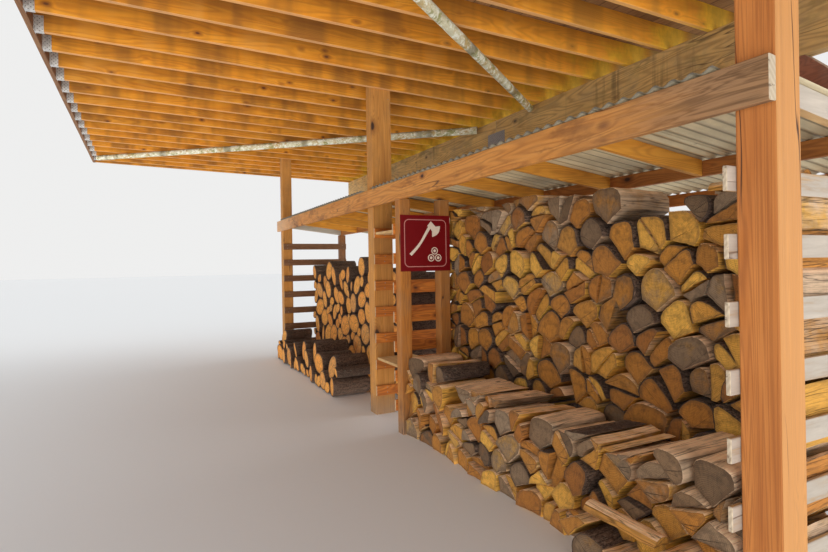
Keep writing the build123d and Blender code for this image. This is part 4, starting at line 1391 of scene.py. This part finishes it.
def roofScrews():    # a row of screws down every rib of the high roof
    slope = roof["fall"]
    corners = cadCorners("roof_sheets")
    lift = max(z + x * slope for x, y, z in corners)
    ribs = sorted({round(y, 3) for x, y, z in corners if z + x * slope > lift - 0.002})
    low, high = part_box("roof_sheets")
    start, reach = low.x + nail["screwEdge"], high.x - low.x - 2 * nail["screwEdge"]
    bm = bmesh.new()
    for left, right in zip(ribs[::2], ribs[1::2]):
        for row in range(nail["rows"]):
            x = start + reach * row / (nail["rows"] - 1)
            nailHead(bm, (x, (left + right) / 2, lift - x * slope - 0.001), (slope, 0, 1), nail["screw"])
    bmesh.ops.recalc_face_normals(bm, faces=bm.faces)
    newPiece("roofScrews", bm, (nailSteel,), "galvanised_steel")


slatNails()
roofScrews()
print("sign and nails done")


# stage
studio = {
    "floor": (0.79, 0.82, 0.86),
    "floorReach": 90,
    "lampTint": (1.0, 0.965, 0.91),
    "lamps": (    # name, the way to it, softness in degrees, strength
        ("nearEnd", (0.12, -1.0, -0.05), 26.0, 0.80),
        ("wallSide", (-1.0, -0.30, 0.22), 40.0, 0.30),
        ("farEnd", (-0.1, 1.0, 0.40), 40.0, 0.5),
        ("rearSide", (1.0, -0.1, 0.50), 40.0, 0.9),
        ("groundBounce", (-0.15, -1.0, -0.55), 60.0, 1.6),
        ("sideBounce", (-1.0, -0.75, -0.85), 60.0, 1.1),
    ),
    "skyLight": (1.0, 0.985, 0.96),
    "skyStrength": 0.75,
    "backdrop": (0.86, 0.86, 0.855),
}


def layFloor():
    bm = bmesh.new()
    bmesh.ops.create_grid(bm, x_segments=1, y_segments=1, size=studio["floorReach"])
    mesh = bpy.data.meshes.new("floor")
    bm.to_mesh(mesh)
    bm.free()
    mesh.materials.append(Paint("paleFloor", roughness=0.9).finish(studio["floor"]))
    floor = inScene(bpy.data.objects.new("floor", mesh))
    floor.visible_shadow = False    # lets the light that the ground would throw back come up through it


def hangLamps():
    for name, way, softness, strength in studio["lamps"]:
        light = bpy.data.lights.new(name, "SUN")
        light.angle = math.radians(softness)
        light.energy = strength
        light.color = studio["lampTint"]
        lamp = inScene(bpy.data.objects.new(name, light))
        lamp.rotation_euler = Vector(way).to_track_quat("Z", "Y").to_euler()


def paleBackdrop():    # soft light for the object, and a plain pale backdrop for what looks past it
    world = bpy.data.worlds.new("studio")
    bpy.context.scene.world = world
    world.use_nodes = True
    sky = Nodes(world.node_tree)
    sky.tree.nodes.remove(sky.tree.nodes["Background"])
    seen = sky.node("LightPath", {}, out="Is Camera Ray")
    for ray in ("Is Glossy Ray", "Is Transmission Ray"):
        seen = seen.larger(sky.node("LightPath", {}, out=ray))
    light = sky.node("Background", {}, studio["skyLight"], studio["skyStrength"])
    backdrop = sky.node("Background", {}, studio["backdrop"], 1.0)
    surface = sky.node("MixShader", {}, seen, light, backdrop)
    sky.feed(sky.tree.nodes["World Output"].inputs["Surface"], surface)


layFloor()
hangLamps()
paleBackdrop()
bpy.context.scene.view_settings.view_transform = "Standard"
print("stage set")
